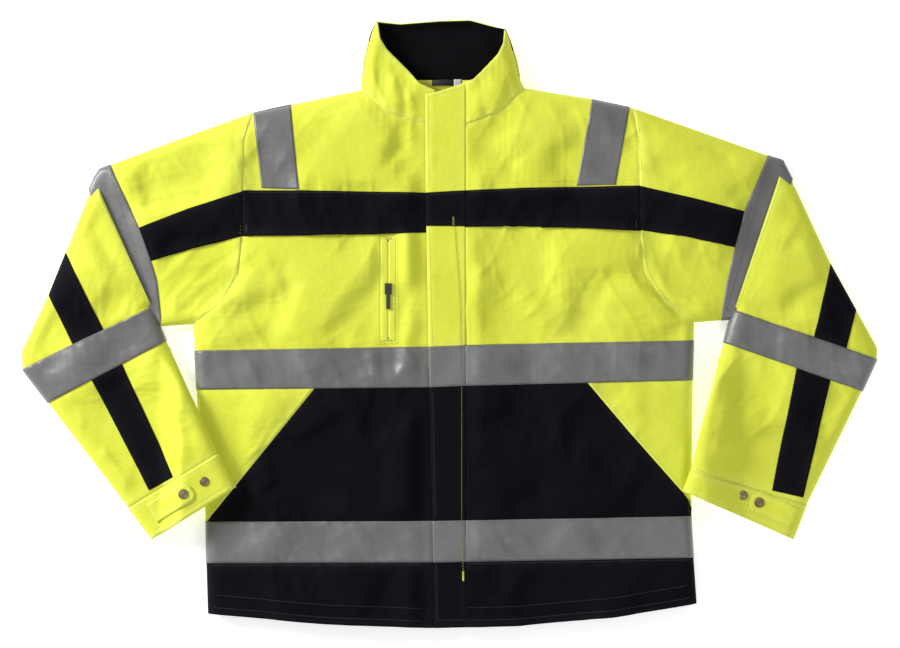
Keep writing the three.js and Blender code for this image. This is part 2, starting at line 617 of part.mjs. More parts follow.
const fromArmpit = (value) =>
  Array.isArray(value[0]) ? value.map(fromArmpit) : [value[0] + bodyHalfWidth, value[1]];
for (const sleeve of [sleeveRight, sleeveLeft]) {
  const laid = Object.fromEntries(
    Object.entries(sleeve).map(([key, value]) => [key, Array.isArray(value) ? fromArmpit(value) : value]),
  );
  const { pleatTop, pleatLow, name, side } = laid;
  const mouth = unit(minus(pleatLow, pleatTop));
  const upSleeve = [-mouth[1], mouth[0]];
  const shoulderLine = unit(minus(pleatTop, [shoulderHalfWidth, shoulderSeamY]));
  const onPleat = (degrees) => {
    const turn = (degrees * Math.PI) / 180;
    return [pleatTop[0] + pleatRadius * Math.cos(turn), pleatTop[1] + pleatRadius * Math.sin(turn)];
  };
  // Angles run clockwise from the mouth line to straight down, on the +X side's mirror.
  const mouthAngle = (Math.atan2(mouth[1], mouth[0]) * 180) / Math.PI;
  const tuckEnd = -90;
  const tuckAngles = [0, 1 / 3, 2 / 3, 1].map((t) => lerp(mouthAngle, tuckEnd, t));
  const tuck = tuckAngles.map(onPleat);

  // Upper sleeve: from the armhole to the pleat, then tucked inside the lower sleeve.
  const upperOutline = anticlockwise([
    along([shoulderHalfWidth, shoulderSeamY], shoulderLine, -60),
    along(pleatTop, shoulderLine, -14),
    [pleatTop[0] - 4, pleatTop[1] - 17],
    [pleatTop[0] + 40, pleatTop[1] - 17],
    [pleatTop[0] + 40, tuck.at(-1)[1]],
    ...[...tuck].reverse(),
    along(tuck[0], upSleeve, -8),
    laid.underarm,
    [bodyHalfWidth, 0],
    [bodyHalfWidth - 100, -2],
  ]);
  const upperClip = prism(
    [
      ...[...armhole].map(([x, y]) => [x + seamGap, y]),
      [bodyHalfWidth + 1 + seamGap, -30],
      [pleatTop[0], -30],
      [pleatTop[0], shoulderSeamY + 60],
      [shoulderHalfWidth, shoulderSeamY + 60],
    ],
    -5,
    skyZ,
  );
  const upperShell = shell(upperOutline, tuckLow, tuckHigh, sleeveRim, clothThickness).intersect(upperClip);
  const upperOver = shell(
    upperOutline,
    tuckLow - tapeOut,
    tuckHigh + tapeOut,
    sleeveRim + tapeOut / 2,
    tapeThickness,
    -tapeOut,
  ).intersect(upperClip);
  // The sleeve swells from the tucked height to the body's height before the armhole.
  const tapeInner = [along(pleatTop, shoulderLine, -34), [laid.underarm[0] - 3, -2]];
  const tapeLine = unit(minus(tapeInner[1], tapeInner[0]));
  const towardsBody = rightOf(tapeLine)[0] < 0 ? rightOf(tapeLine) : rightOf(tapeLine).map((v) => -v);
  const reach = (p) => (p[0] - tapeInner[0][0]) * towardsBody[0] + (p[1] - tapeInner[0][1]) * towardsBody[1];
  const base = tapeInner[0][0] * towardsBody[0] + tapeInner[0][1] * towardsBody[1];
  const swellLength = 30;
  const swell = bodyLoft / pleatLoft - 1;
  const swelling = {
    planes: [[...towardsBody, base + 3], [...towardsBody, base + 3 + swellLength]],
    move: ([x, y, z]) => {
      const t = Math.min(1, Math.max(0, (reach([x, y]) - 3) / swellLength));
      const centre = lerp(sleeveMiddleZ, middleZ, t);
      return [x, y, centre + (z - sleeveMiddleZ) * (1 + swell * t)];
    },
  };
  add(`sleeve_${name}_upper`, upperShell, yellow, side, swelling);
  const tapeOuter = tapeInner.map((p) => along(p, towardsBody, -tapeWidth));
  const bicepsPrism = prism(
    [along(tapeInner[0], tapeLine, -60), along(tapeInner[1], tapeLine, 60),
      along(tapeOuter[1], tapeLine, 60), along(tapeOuter[0], tapeLine, -60)],
    -5,
    skyZ,
  );
  add(`biceps_${name}_tape`, upperOver.intersect(bicepsPrism), grey, side);
  const bandDrop = [mix(tapeInner[0], tapeInner[1], 0.4), mix(tapeInner[0], tapeInner[1], 0.62)];
  const bandPlan = prism(
    [[armholeHalfWidth + 1, chestBandTopY], [armholeHalfWidth + 1, chestBandLowY],
      along(bandDrop[1], towardsBody, 1), along(bandDrop[0], towardsBody, 1)],
    middleZ + 1,
    skyZ,
  );
  add(`sleeve_${name}_band`, upperOver.intersect(bandPlan), navy, side, swelling);

  // Lower sleeve: from the pleat to the cuff, rising where it lies over the body.
  const cuffLine = unit(minus(laid.cuffInner, laid.cuffOuter));
  const downCuff = cuffLine[0] < 0 ? [cuffLine[1], -cuffLine[0]].map((v) => -v) : [cuffLine[1], -cuffLine[0]];
  const outOfCuff = downCuff[1] < 0 ? downCuff : downCuff.map((v) => -v);
  const lowerOutline = anticlockwise([
    along(pleatTop, upSleeve, -30),
    pleatTop,
    ...laid.outer,
    laid.cuffOuter,
    along(laid.cuffOuter, outOfCuff, 30),
    along(laid.cuffInner, outOfCuff, 30),
    laid.cuffInner,
    ...[...laid.inner].reverse(),
    pleatLow,
    along(pleatLow, upSleeve, -30),
  ]);
  const beyondMouth = [
    along(pleatTop, mouth, -300),
    along(pleatTop, mouth, 500),
    along(along(pleatTop, mouth, 500), upSleeve, 900),
    along(along(pleatTop, mouth, -300), upSleeve, 900),
  ];
  const cuffEnd = (distance) => [
    along(along(laid.cuffOuter, outOfCuff, -distance), cuffLine, -300),
    along(along(laid.cuffOuter, outOfCuff, -distance), cuffLine, 500),
    along(along(laid.cuffOuter, outOfCuff, 300), cuffLine, 500),
    along(along(laid.cuffOuter, outOfCuff, 300), cuffLine, -300),
  ];
  const lowerClip = prism(beyondMouth, -5, skyZ).subtract(prism(cuffEnd(0), -6, skyZ + 1));
  const lowerShell = shell(lowerOutline, lowSleeve, highSleeve, sleeveRim, clothThickness).intersect(lowerClip);
  const lowerOver = shell(
    lowerOutline,
    lowSleeve - tapeOut,
    highSleeve + tapeOut,
    sleeveRim + tapeOut / 2,
    tapeThickness,
    -tapeOut,
  ).intersect(lowerClip);
  const liftX = [bodyHalfWidth + liftStart, bodyHalfWidth + liftEnd];
  const liftY = [-34, -92];
  const slopeX = 1 / (liftX[0] - liftX[1]);
  const slopeY = 1 / (liftY[0] - liftY[1]);
  const lifting = {
    planes: [
      [1, 0, liftX[0]],
      [1, 0, liftX[1]],
      [0, 1, liftY[0]],
      [0, 1, liftY[1]],
      [-slopeX, slopeY, liftY[0] * slopeY - liftX[0] * slopeX],
    ],
    move: ([x, y, z]) => {
      const rise = Math.min((liftX[0] - x) * slopeX, (liftY[0] - y) * slopeY);
      return [x, y, z + cuffLift * Math.min(1, Math.max(0, rise))];
    },
  };
  const cuffArea = (gap) => prism(cuffEnd(cuffHeight + gap), -6, skyZ + 1);
  const arm = lowerShell.subtract(cuffArea(edge));
  const sleeveTop = box(-far, far, -far, far, (lowSleeve + highSleeve) / 2, skyZ);
  const ribbon = (points, halfWidth) => {
    let body = null;
    for (let i = 0; i + 1 < points.length; i++) {
      const d = unit(minus(points[i + 1], points[i]));
      const n = rightOf(d);
      const a = along(points[i], d, i ? -halfWidth * 0.45 : 0);
      const b = along(points[i + 1], d, i + 2 < points.length ? halfWidth * 0.45 : 0);
      const piece = prism(
        [along(a, n, halfWidth), along(b, n, halfWidth), along(b, n, -halfWidth), along(a, n, -halfWidth)],
        highSleeve - clothThickness - 2,
        skyZ,
      );
      body = body ? body.add(piece) : piece;
    }
    return body;
  };
  const stripe = arm.intersect(sleeveTop).intersect(ribbon(laid.stripe, stripeWidth / 2));
  add(`sleeve_${name}_lower`, arm.subtract(ribbon(laid.stripe, stripeWidth / 2 + seamGap)), yellow, side, lifting);
  add(`sleeve_${name}_stripe`, stripe, navy, side, lifting);
  const elbow = prism([...laid.elbowUpper, laid.elbowLower[1], laid.elbowLower[0]], -5, skyZ);
  const elbowWide = [
    along(laid.elbowUpper[0], unit(minus(laid.elbowUpper[0], laid.elbowUpper[1])), 40),
    along(laid.elbowUpper[1], unit(minus(laid.elbowUpper[0], laid.elbowUpper[1])), -40),
    along(laid.elbowLower[1], unit(minus(laid.elbowLower[0], laid.elbowLower[1])), -40),
    along(laid.elbowLower[0], unit(minus(laid.elbowLower[0], laid.elbowLower[1])), 40),
  ];
  add(`elbow_${name}_tape`, lowerOver.intersect(elbow.add(prism(elbowWide, -5, skyZ))), grey, side, lifting);

  // Cuff with an exposed stud, and a tab with a snap cap that lifts from its outer end.
  const cuffMiddle = (t) =>
    along(along(laid.cuffOuter, outOfCuff, -cuffHeight / 2), cuffLine,
      t * Math.hypot(...minus(laid.cuffInner, laid.cuffOuter)));
  const studAt = cuffMiddle(laid.stud);
  const cuff = lowerShell
    .intersect(cuffArea(-edge))
    .add(disc(studAt, snapRadius, highSleeve - 0.4, highSleeve + snapHeight));
  add(`cuff_${name}`, cuff, yellow, side, lifting);
  const tabStart = along(studAt, cuffLine, -snapRadius - 3 - tabLength);
  const tabEnd = along(tabStart, cuffLine, tabLength);
  const tabLow = highSleeve + seamGap;
  const tabHigh = tabLow + 1.6;
  const halfTab = tabWidth / 2;
  const tab = prism(
    [
      along(tabStart, outOfCuff, halfTab),
      along(along(tabEnd, outOfCuff, halfTab), cuffLine, -8),
      along(tabEnd, outOfCuff, halfTab - 8),
      along(tabEnd, outOfCuff, 8 - halfTab),
      along(along(tabEnd, outOfCuff, -halfTab), cuffLine, -8),
      along(tabStart, outOfCuff, -halfTab),
    ],
    tabLow,
    tabHigh,
  ).add(disc(along(tabEnd, cuffLine, -snapRadius - 6), snapRadius, tabHigh - 0.4, tabHigh + snapHeight));
  add(`cuff_${name}_tab`, tab, yellow, side, lifting);
}

// The origin is the middle of the laid jacket's footprint, on the floor.
const bounds = new THREE.Box3().setFromObject(product);
const middle = bounds.getCenter(new THREE.Vector3());
for (const node of product.children) {
  node.geometry.translate(-middle.x, -middle.y, -bounds.min.z);
}

export default product;
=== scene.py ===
"""Looks of a high-visibility zip work jacket laid flat on its back.

Sizes are millimetres in the garment's own plan: x to the wearer's left, y towards the
collar, z up. `to_row` turns them into metres in the row frame.
"""

import math
from types import SimpleNamespace

import bpy
import numpy as np
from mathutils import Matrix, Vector


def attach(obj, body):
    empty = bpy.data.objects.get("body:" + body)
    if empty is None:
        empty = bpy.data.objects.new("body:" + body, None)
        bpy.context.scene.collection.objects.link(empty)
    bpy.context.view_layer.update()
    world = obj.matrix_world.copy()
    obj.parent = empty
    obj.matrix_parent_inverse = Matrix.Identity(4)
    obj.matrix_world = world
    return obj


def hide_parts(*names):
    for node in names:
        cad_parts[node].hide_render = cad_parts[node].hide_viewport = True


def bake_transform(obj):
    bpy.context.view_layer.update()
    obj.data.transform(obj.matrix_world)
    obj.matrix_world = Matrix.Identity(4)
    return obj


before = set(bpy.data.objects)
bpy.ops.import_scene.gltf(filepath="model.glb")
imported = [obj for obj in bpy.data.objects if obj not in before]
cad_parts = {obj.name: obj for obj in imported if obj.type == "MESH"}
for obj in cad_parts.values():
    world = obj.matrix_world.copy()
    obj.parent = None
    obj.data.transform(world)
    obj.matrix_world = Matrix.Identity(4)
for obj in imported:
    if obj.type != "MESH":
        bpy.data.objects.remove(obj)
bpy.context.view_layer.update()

MM = 0.001
PLAN_SHIFT = np.array([-8.0, 1.0, 0.0])  # the row's origin is the footprint's middle
MID_Z, HALF_LOFT = 12.65, 11.3  # half way through the laid body, and from there to its faces
ARM_MID_Z, ARM_LOFT = 12.5, 11.2  # the same for a lower sleeve
RIM = 15.0  # how far a folded edge takes to round over
STEP = 3.2  # spacing of the cloth grid
BACK_STEP = 8  # the same on the back, which lies on the ground
FLAP_STEP = 2.6
FLOOR_GAP = 0.15  # the lowest that cloth may lie
TAPE_WALL = 0.5


def to_row(points):
    """Metres in the row frame from millimetres in the plan."""
    return (np.asarray(points, float) + PLAN_SHIFT) * MM


def smooth(t):
    """An S-shaped step from 0 to 1."""
    t = np.clip(t, 0.0, 1.0)
    return t * t * (3.0 - 2.0 * t)


# ---- plan outlines ---------------------------------------------------------------------
ZIP_EDGE = 9.5  # from the middle to each front's zip edge
FLAP_ROOT = 29.0  # the x of the storm flap's stitched edge

# Each half of the jacket has the same lines. `sign` is its side in x, and `end` the place of its
# end in a left-to-right line. `climb` says where the forearm's rise over the body starts in x, and
# how long it is. `sewn` has the x where a front's rows of stitches start and end, `tack` the close
# stitches at the chest band's end, and `tab` the cuff tab's sewn root and its free end.
RIGHT = SimpleNamespace(
    name="right",
    sign=-1,
    end=0,
    neck=[(-ZIP_EDGE, 255.5), (-34, 259), (-72, 271), (-104, 300), (-243, 271)],
    shoulder=[(-104, 300), (-243, 271), (-330, 240), (-426, 204), (-440, 199), (-449, 185), (-454, 173)],
    collar_top=[(-ZIP_EDGE, 299), (-30, 308), (-43, 323), (-58, 338), (-72, 352), (-80, 365), (-84, 388)],
    collar_side=[(-84, 388), (-91, 374), (-100, 338), (-104, 300)],
    underarm=[(-447, 4), (-414, 4), (-384, 6), (-368, 2), (-362, -3), (-320, 0)],
    side=[(-320, 0), (-317, -60), (-312, -150), (-304, -250), (-303, -305), (-301, -371)],
    armhole=[(-243, 271), (-254, 235), (-256, 115), (-261, 65), (-285, 26), (-320, 0)],
    sleeve_out=[
        *[(-443, 178), (-456, 160), (-484, 91), (-506, 37), (-540, -35)],
        *[(-539, -58), (-506, -101), (-403, -236), (-373, -276)],
    ],
    sleeve_in=[(-373, 22), (-366, 4), (-355, -22), (-312, -110), (-287, -165), (-264, -208)],
    pocket=[(-146, -57), (-164, -82), (-215, -145), (-302, -252), (-303, -305)],
    biceps=[(-426, 204), (-404, 157), (-387, 120), (-374, 83), (-366, 56), (-361, 9), (-362, -3)],
    biceps_low=[(-454, 173), (-428, 100), (-384, 6)],
    band_top=[(-256, 170), (-327, 147), (-402, 118)],
    band_low=[(-254, 113), (-320, 96.5), (-387, 77)],
    brace_top=[(-243, 271), (-195, 281.3)],
    brace_low=[(-232, 174), (-184, 172)],
    brace_back=[(-228, -30), (-180, -32)],
    stripes={
        "upper": ([(-483, 92), (-433, -10)], [(-505, 37), (-471, -32)]),
        "lower": ([(-414, -44), (-344, -195)], [(-453, -64), (-376, -213)]),
    },
    mouth=[(-443, 178), (-373, 22)],
    cuff=[(-403, -236), (-287, -165)],
    climb=(364.0, 34.0),
    chest_end=-256,
    sewn=(-29.0, -250),
    tack=(-251, 122),
    tab=((-372.3, -242.4), (-319.7, -209.6)),
    stud_at=(-303.5, -200.5),
    sewn_down=0.0,
)
LEFT = SimpleNamespace(
    name="left",
    sign=1,
    end=-1,
    neck=[(ZIP_EDGE, 254.5), (34, 257), (74, 272), (104, 302), (188, 289), (243, 277)],
    shoulder=[(104, 302), (188, 289), (243, 277), (300, 257), (416, 216), (436, 210), (448, 186)],
    collar_top=[(ZIP_EDGE, 302), (28, 309), (39, 313), (55, 329), (70, 345), (77, 359), (79, 378)],
    collar_side=[(79, 378), (85, 364), (93, 338), (98, 314), (104, 302)],
    underarm=[(450, 6), (418, 4), (390, 8), (372, 7), (357, 5), (322, 2)],
    side=[(322, 2), (320, -60), (319, -150), (318, -250), (321, -300), (325, -358)],
    armhole=[(243, 277), (251, 235), (252, 115), (258, 65), (285, 26), (322, 2)],
    sleeve_out=[
        *[(432, 193), (451, 176), (497, 77), (557, -31)],
        *[(556, -45), (537, -86), (466, -232), (449, -276)],
    ],
    sleeve_in=[(373, 18), (366, 0), (360, -24), (330, -130), (316, -187), (306, -213)],
    pocket=[(166, -50), (184, -74), (240, -140), (318, -228), (320, -300)],
    biceps=[(416, 216), (400, 178), (386, 146), (374, 100), (364, 56), (358, 20), (357, 5)],
    biceps_low=[(448, 186), (420, 110), (390, 8)],
    band_top=[(251, 177), (320, 161), (398, 141)],
    band_low=[(252, 120), (310, 112), (384, 96)],
    brace_top=[(191, 288.2), (239, 278)],
    brace_low=[(171, 177), (221, 178)],
    brace_back=[(178, -22), (226, -24)],
    stripes={
        "upper": ([(496.5, 77), (474, -18)], [(529, 18), (515, -34)]),
        "lower": ([(453, -50), (421, -213)], [(497, -66), (461, -222)]),
    },
    mouth=[(432, 193), (373, 18)],
    cuff=[(316, -180), (466, -232)],
    climb=(386.0, 56.0),
    chest_end=252,
    sewn=(33.0, 246),
    tack=(247, 128),
    tab=((449.7, -248.2), (393.0, -223.2)),
    stud_at=(383.8, -219.2),
    sewn_down=8.0,
)
HALVES = (RIGHT, LEFT)
HEM = [(-301, -371), (-150, -384), (-20, -389), (100, -386), (220, -375), (325, -358)]
HEM_SEAM = [(-303, -306), (-13, -305), (28, -304), (320, -299)]
HIP_SEAM = [(-318, -59), (-20, -56), (28, -55), (320, -47)]
WAIST_TOP = [(-318, -34), (-20, -29), (28, -27), (320, -21)]
WAIST_LOW = [(-319, -84), (-20, -81), (28, -79), (320, -72)]
HEM_TOP = [(-304, -253), (-20, -252), (28, -251), (318, -246)]
BAND_TOP = [(-256, 171), (-183, 171), (-23, 168), (11, 170), (100, 174), (252, 177)]
BAND_LOW = [(-256, 112), (-145, 113), (-23, 117), (30, 124), (100, 125), (252, 119)]
FLAP_BAND_LOW = [(-256, 125.5), (-23, 125.5), (28, 125), (252, 125)]
FLAP_EDGE = [(-23, 295), (-22, 171), (-17, -80), (-13, -255), (-11, -388)]
COLLAR_TOP = [(-84, 388), (-55, 385), (-4, 389), (35, 390), (79, 378)]
BACK_NECK = [(-104, 300), (-50, 292), (0, 290), (50, 292), (104, 302)]
TAPES = {"waist": (WAIST_TOP, WAIST_LOW), "hem": (HEM_TOP, HEM_SEAM)}


def follow(points, count):
    """Points at equal distances along a polyline."""
    p = np.asarray(points, float)
    s = np.concatenate([[0], np.cumsum(np.hypot(*np.diff(p, axis=0).T))])
    t = np.linspace(0, s[-1], count) if np.isscalar(count) else np.asarray(count) * s[-1]
    return np.stack([np.interp(t, s, p[:, 0]), np.interp(t, s, p[:, 1])], 1)


def rounded(points, times=2):
    """Cuts a polyline's corners, each a quarter from both ends of its neighbours."""
    p = np.asarray(points, float)
    for _ in range(times):
        inner = np.stack([0.75 * p[:-1] + 0.25 * p[1:], 0.25 * p[:-1] + 0.75 * p[1:]], 1)
        p = np.concatenate([p[:1], inner.reshape(-1, 2)[1:-1], p[-1:]])
    return p


def at_x(points, x):
    """The point of a left-to-right line at one x."""
    p = np.asarray(points, float)
    return (x, float(np.interp(x, p[:, 0], p[:, 1])))


def at_y(points, y):
    """The point of a top-to-bottom line at one y."""
    p = np.asarray(points, float)[::-1]
    return (float(np.interp(y, p[:, 1], p[:, 0])), y)


def between(points, start, end):
    """The stretch of a polyline between two shares of its length."""
    p = follow(points, 120)
    lo, hi = int(round(start * 119)), int(round(end * 119))
    return p[lo : hi + 1]


def distance_to(points, x, y):
    """Distance in the plan from many places to one polyline."""
    p = np.asarray(points, float)
    best = np.full(np.shape(x), 1e9)
    for (ax, ay), (bx, by) in zip(p[:-1], p[1:]):
        dx, dy = bx - ax, by - ay
        t = np.clip(((x - ax) * dx + (y - ay) * dy) / (dx * dx + dy * dy), 0, 1)
        best = np.minimum(best, np.hypot(x - ax - t * dx, y - ay - t * dy))
    return best


def grid_faces(rows, cols, ring=False):
    """The four-cornered faces of a grid of points, closed across when it is a ring."""
    i = np.arange(rows - 1)[:, None]
    j = np.arange(cols if ring else cols - 1)[None, :]
    a, b = i * cols + j, i * cols + (j + 1) % cols
    return np.stack([a, b, b + cols, a + cols], -1).reshape(-1, 4)


def link(name, data):
    """A new object in the scene."""
    made = bpy.data.objects.new(name, data)
    bpy.context.scene.collection.objects.link(made)
    return made


# ---- the settled cloth -----------------------------------------------------------------
SEAMS = {
    "chest": [(-256, 138), (-20, 142), (28, 146), (252, 148)],
    "waist_top": [(-317, -34), (-20, -29), (28, -27), (320, -22)],
    "waist_low": [(-318, -84), (-20, -79), (28, -78), (320, -72)],
    "hem_tape": [(-304, -253), (-13, -253), (320, -247)],
    "hem": HEM_SEAM,
    "r_armhole": RIGHT.armhole,
    "l_armhole": LEFT.armhole,
    "r_pocket": RIGHT.pocket,
    "l_pocket": LEFT.pocket,
    "neck": [(-104, 300), (-72, 271), (-10, 256), (28, 254), (74, 272), (104, 302)],
    "r_elbow": [(-541, -60), (-375, 24)],
    "r_elbow_low": [(-506, -101), (-355, -22)],
    "l_elbow": [(557, -40), (373, 20)],
    "l_elbow_low": [(537, -86), (361, -22)],
    "r_cuff": RIGHT.cuff,
    "l_cuff": LEFT.cuff,
    "r_mouth": RIGHT.mouth,
    "l_mouth": LEFT.mouth,
    "flap": [(23, 290), (28, -388)],
}
FOLDED = [line for half in HALVES for line in (half.shoulder, half.side, half.sleeve_out, half.sleeve_in)]
GRID_X = np.linspace(-568, 568, 143)
GRID_Y = np.linspace(-400, 400, 101)
GROWTH = 0.035  # how much larger than its seams the sheet is
SETTLING_FRAMES = 26
TALLEST_BUCKLE = 9


def start_unevenness(x, y):
    """A sum of a few slow waves, each at its own slant, to start the folds from."""
    waves = [
        *[(0.031, 0.017, 0.4), (-0.022, 0.041, 1.7), (0.047, -0.036, 2.9)],
        *[(0.012, 0.055, 4.1), (0.062, 0.008, 5.2)],
    ]
    return sum(np.sin(a * x + b * y + c) for a, b, c in waves) * 0.35


def sewn_share(x, y):
    """How firmly each place is held: 1 on a seam, a folded edge or the sheet's rim."""
    held = np.zeros(x.shape)
    for lines, reach in ((SEAMS.values(), 6.0), (FOLDED, 7.0)):
        for line in lines:
            held = np.maximum(held, np.exp(-((distance_to(line, x, y) / reach) ** 2)))
    held[[0, -1], :] = 1.0
    held[:, [0, -1]] = 1.0
    return held.ravel()


def settle_cloth():
    """Lets a sheet a little larger than its seams buckle between them; its height is the result."""
    gx, gy = np.meshgrid(GRID_X, GRID_Y)
    co = np.stack([gx, gy, start_unevenness(gx, gy)], -1).reshape(-1, 3) * MM
    mesh = bpy.data.meshes.new("settling")
    mesh.from_pydata(co.tolist(), [], grid_faces(*gx.shape).tolist())
    sheet = link("settling", mesh)
    group = sheet.vertex_groups.new(name="sewn")
    held = sewn_share(gx, gy)
    for level in np.linspace(0.1, 1.0, 10):
        chosen = np.nonzero(np.abs(held - level) <= 0.05)[0]
        group.add(chosen.tolist(), float(level), "REPLACE")
    settle = sheet.modifiers.new("settle", "CLOTH")
    settings = {
        "quality": 5,
        "mass": 0.25,
        "tension_stiffness": 18,
        "compression_stiffness": 18,
        "shear_stiffness": 6,
        "bending_stiffness": 0.9,
        "shrink_min": -GROWTH,
        "shrink_max": -GROWTH,
        "vertex_group_mass": "sewn",
        "pin_stiffness": 2.0,
    }
    for key, value in settings.items():
        setattr(settle.settings, key, value)
    settle.settings.effector_weights.gravity = 0.0
    settle.collision_settings.use_self_collision = False
    settle.point_cache.frame_start = 1
    settle.point_cache.frame_end = SETTLING_FRAMES
    scene = bpy.context.scene
    for number in range(1, SETTLING_FRAMES + 1):
        scene.frame_set(number)
    shape = sheet.evaluated_get(bpy.context.evaluated_depsgraph_get()).to_mesh()
    out = np.empty(len(shape.vertices) * 3)
    shape.vertices.foreach_get("co", out)
    height = out.reshape(-1, 3)[:, 2].reshape(gx.shape) / MM
    bpy.data.objects.remove(sheet)
    bpy.data.meshes.remove(mesh)
    scene.frame_set(1)
    return np.clip(height, -TALLEST_BUCKLE, TALLEST_BUCKLE)


def soften(field, rounds):
    """Averages each height with its four neighbours."""
    for _ in range(rounds):
        inner = field[1:-1, 1:-1]
        around = field[:-2, 1:-1] + field[2:, 1:-1] + field[1:-1, :-2] + field[1:-1, 2:]
        field = field.copy()
        field[1:-1, 1:-1] = 0.4 * inner + 0.15 * around
    return field


buckle = soften(settle_cloth(), 2)


def sample_buckle(x, y):
    """Height of the settled sheet between its grid points, weighed by the four nearest."""
    u = np.clip((x - GRID_X[0]) / (GRID_X[1] - GRID_X[0]), 0, len(GRID_X) - 1.001)
    v = np.clip((y - GRID_Y[0]) / (GRID_Y[1] - GRID_Y[0]), 0, len(GRID_Y) - 1.001)
    i, j = u.astype(int), v.astype(int)
    fu, fv = smooth(u - i), smooth(v - j)
    low = buckle[j, i] * (1 - fu) + buckle[j, i + 1] * fu
    high = buckle[j + 1, i] * (1 - fu) + buckle[j + 1, i + 1] * fu
    return low * (1 - fv) + high * fv


# Folds that the laid jacket holds: from x and y, to x and y, half width, height.
BODY_FOLDS = [
    (-108, 184, -60, 256, 9, 3.4), (-84, 196, -46, 236, 8, -2.6), (-70, 350, -60, 262, 8, 3.2),
    (-84, 360, -86, 290, 7, -2.2), (-44, 310, -40, 262, 6, 2.0), (-150, 300, -140, 184, 16, 3.0),
    (-205, 186, -128, 278, 13, -3.0), (-60, 176, -180, 196, 8, 1.6), (56, 330, 70, 276, 10, 2.4),
    (84, 350, 88, 296, 8, -1.8), (46, 292, 60, 262, 8, -1.6), (60, 236, 150, 262, 15, 3.0),
    (44, 178, 196, 236, 20, -3.2), (60, 200, 130, 214, 12, 2.2), (128, 246, 190, 258, 12, -2.6),
    (-345, 14, -262, 92, 11, 3.4), (-322, 10, -238, 70, 10, -3.2), (-318, -8, -214, 96, 12, 3.2),
    (-306, -20, -180, 60, 13, -2.2), (-350, 52, -272, 108, 10, 2.6), (-364, 90, -290, 150, 12, -2.2),
    (-410, 190, -300, 210, 16, 2.4), (-392, 168, -272, 196, 12, -2.0), (-268, 186, -250, 262, 9, 2.6),
    (-252, 20, -240, 106, 14, 1.8), (345, 12, 258, 88, 11, 3.4), (322, 8, 236, 66, 10, -3.0),
    (314, -12, 206, 92, 13, 3.2), (300, -22, 170, 30, 14, -2.2), (352, 60, 276, 112, 10, 2.4),
    (368, 96, 292, 152, 12, -2.4), (402, 190, 292, 220, 16, 2.6), (270, 190, 254, 262, 9, 2.4),
    (60, 104, 140, -20, 20, 2.2), (110, 108, 210, 10, 18, -2.0), (-200, 100, -120, -16, 22, 2.0),
    (-40, 96, -46, -10, 14, 1.6), (40, 96, 46, 0, 16, 1.8), (-296, -96, -212, -98, 12, 1.8),
    (-300, -190, -236, -120, 11, 2.0), (308, -100, 226, -92, 12, 1.8), (312, -170, 240, -116, 11, -1.8),
    (-230, -120, -120, -228, 20, 2.0), (60, -110, 190, -230, 22, 2.0), (-60, -110, -90, -236, 20, -1.6),
    (-230, -262, -205, -296, 8, 1.8), (-160, -260, -128, -300, 8, -1.8), (-84, -258, -60, -300, 9, 1.6),
    (80, -258, 112, -296, 9, 1.6), (190, -254, 224, -292, 9, -1.4), (250, -46, 232, -70, 8, 1.2),
    (200, -42, 186, -72, 8, 1.2), (-250, -320, -190, -366, 16, 1.6), (80, -318, 160, -372, 18, 1.6),
    (352, 30, 300, 78, 5, 2.4), (338, 18, 288, 58, 5, -2.0), (362, 60, 318, 96, 5, 2.2),
    (330, 6, 262, 36, 6, 2.2), (300, 196, 392, 176, 7, 2.0), (-352, 24, -296, 82, 5, 2.4),
    (-336, 14, -282, 64, 5, -2.0), (-366, 52, -318, 92, 5, 2.2), (-326, 2, -258, 42, 6, 2.2),
    (-300, 176, -384, 160, 7, 1.8), (120, 236, 84, 196, 7, -2.0), (-232, 90, -196, 20, 7, 1.8),
    (214, 96, 184, 22, 7, 1.8),
]
RIGHT_SLEEVE_FOLDS = [
    (-478, 70, -400, 40, 12, 2.6), (-470, 110, -424, 76, 10, 2.2), (-506, 10, -420, -8, 11, -2.4),
    (-450, 140, -420, 90, 9, -1.8), (-396, 0, -384, 30, 7, 2.0), (-470, -90, -400, -50, 10, 1.8),
    (-470, -120, -420, -170, 14, 2.4), (-372, -60, -340, -120, 12, 2.4), (-352, -80, -318, -150, 9, -2.2),
    (-400, -100, -366, -160, 13, -1.6), (-430, -190, -392, -236, 10, 1.8), (-500, -62, -446, -78, 6, 1.2),
    (-420, -18, -380, -20, 6, 1.2),
]
LEFT_SLEEVE_FOLDS = [
    (486, 70, 420, 30, 12, 2.6), (470, 130, 430, 90, 10, -2.0), (520, 20, 440, 6, 11, 2.2),
    (500, -20, 420, 0, 9, -2.0), (400, 20, 388, 60, 9, 2.0), (492, -90, 430, -60, 10, 1.8),
    (480, -120, 470, -190, 14, 2.2), (380, -50, 352, -130, 13, 2.6), (362, -60, 336, -150, 9, -2.2),
    (412, -90, 394, -170, 14, 1.6), (352, -150, 334, -196, 8, 1.8), (500, -40, 470, -66, 6, 1.2),
]


def folds(listed, x, y):
    """Each fold is a bell across its line that fades out towards both ends."""
    z = np.zeros(np.shape(x))
    for ax, ay, bx, by, width, height in listed:
        dx, dy = bx - ax, by - ay
        t = ((x - ax) * dx + (y - ay) * dy) / (dx * dx + dy * dy)
        across = ((x - ax) * dy - (y - ay) * dx) / math.hypot(dx, dy)
        bend = width * 0.35 * np.sin(t * 4.0 + ax)
        fade = smooth(1.25 - np.abs(t - 0.5) * 1.7)
        z += height * fade * np.exp(-(((across + bend) / width) ** 2))
    return z


# Press lines: slant in radians, spacing, height, and a shift of the pattern.
PRESS_LINES = [(0.35, 31.0, 0.55, 0.0), (1.9, 23.0, 0.4, 2.0), (2.6, 41.0, 0.6, 4.4)]


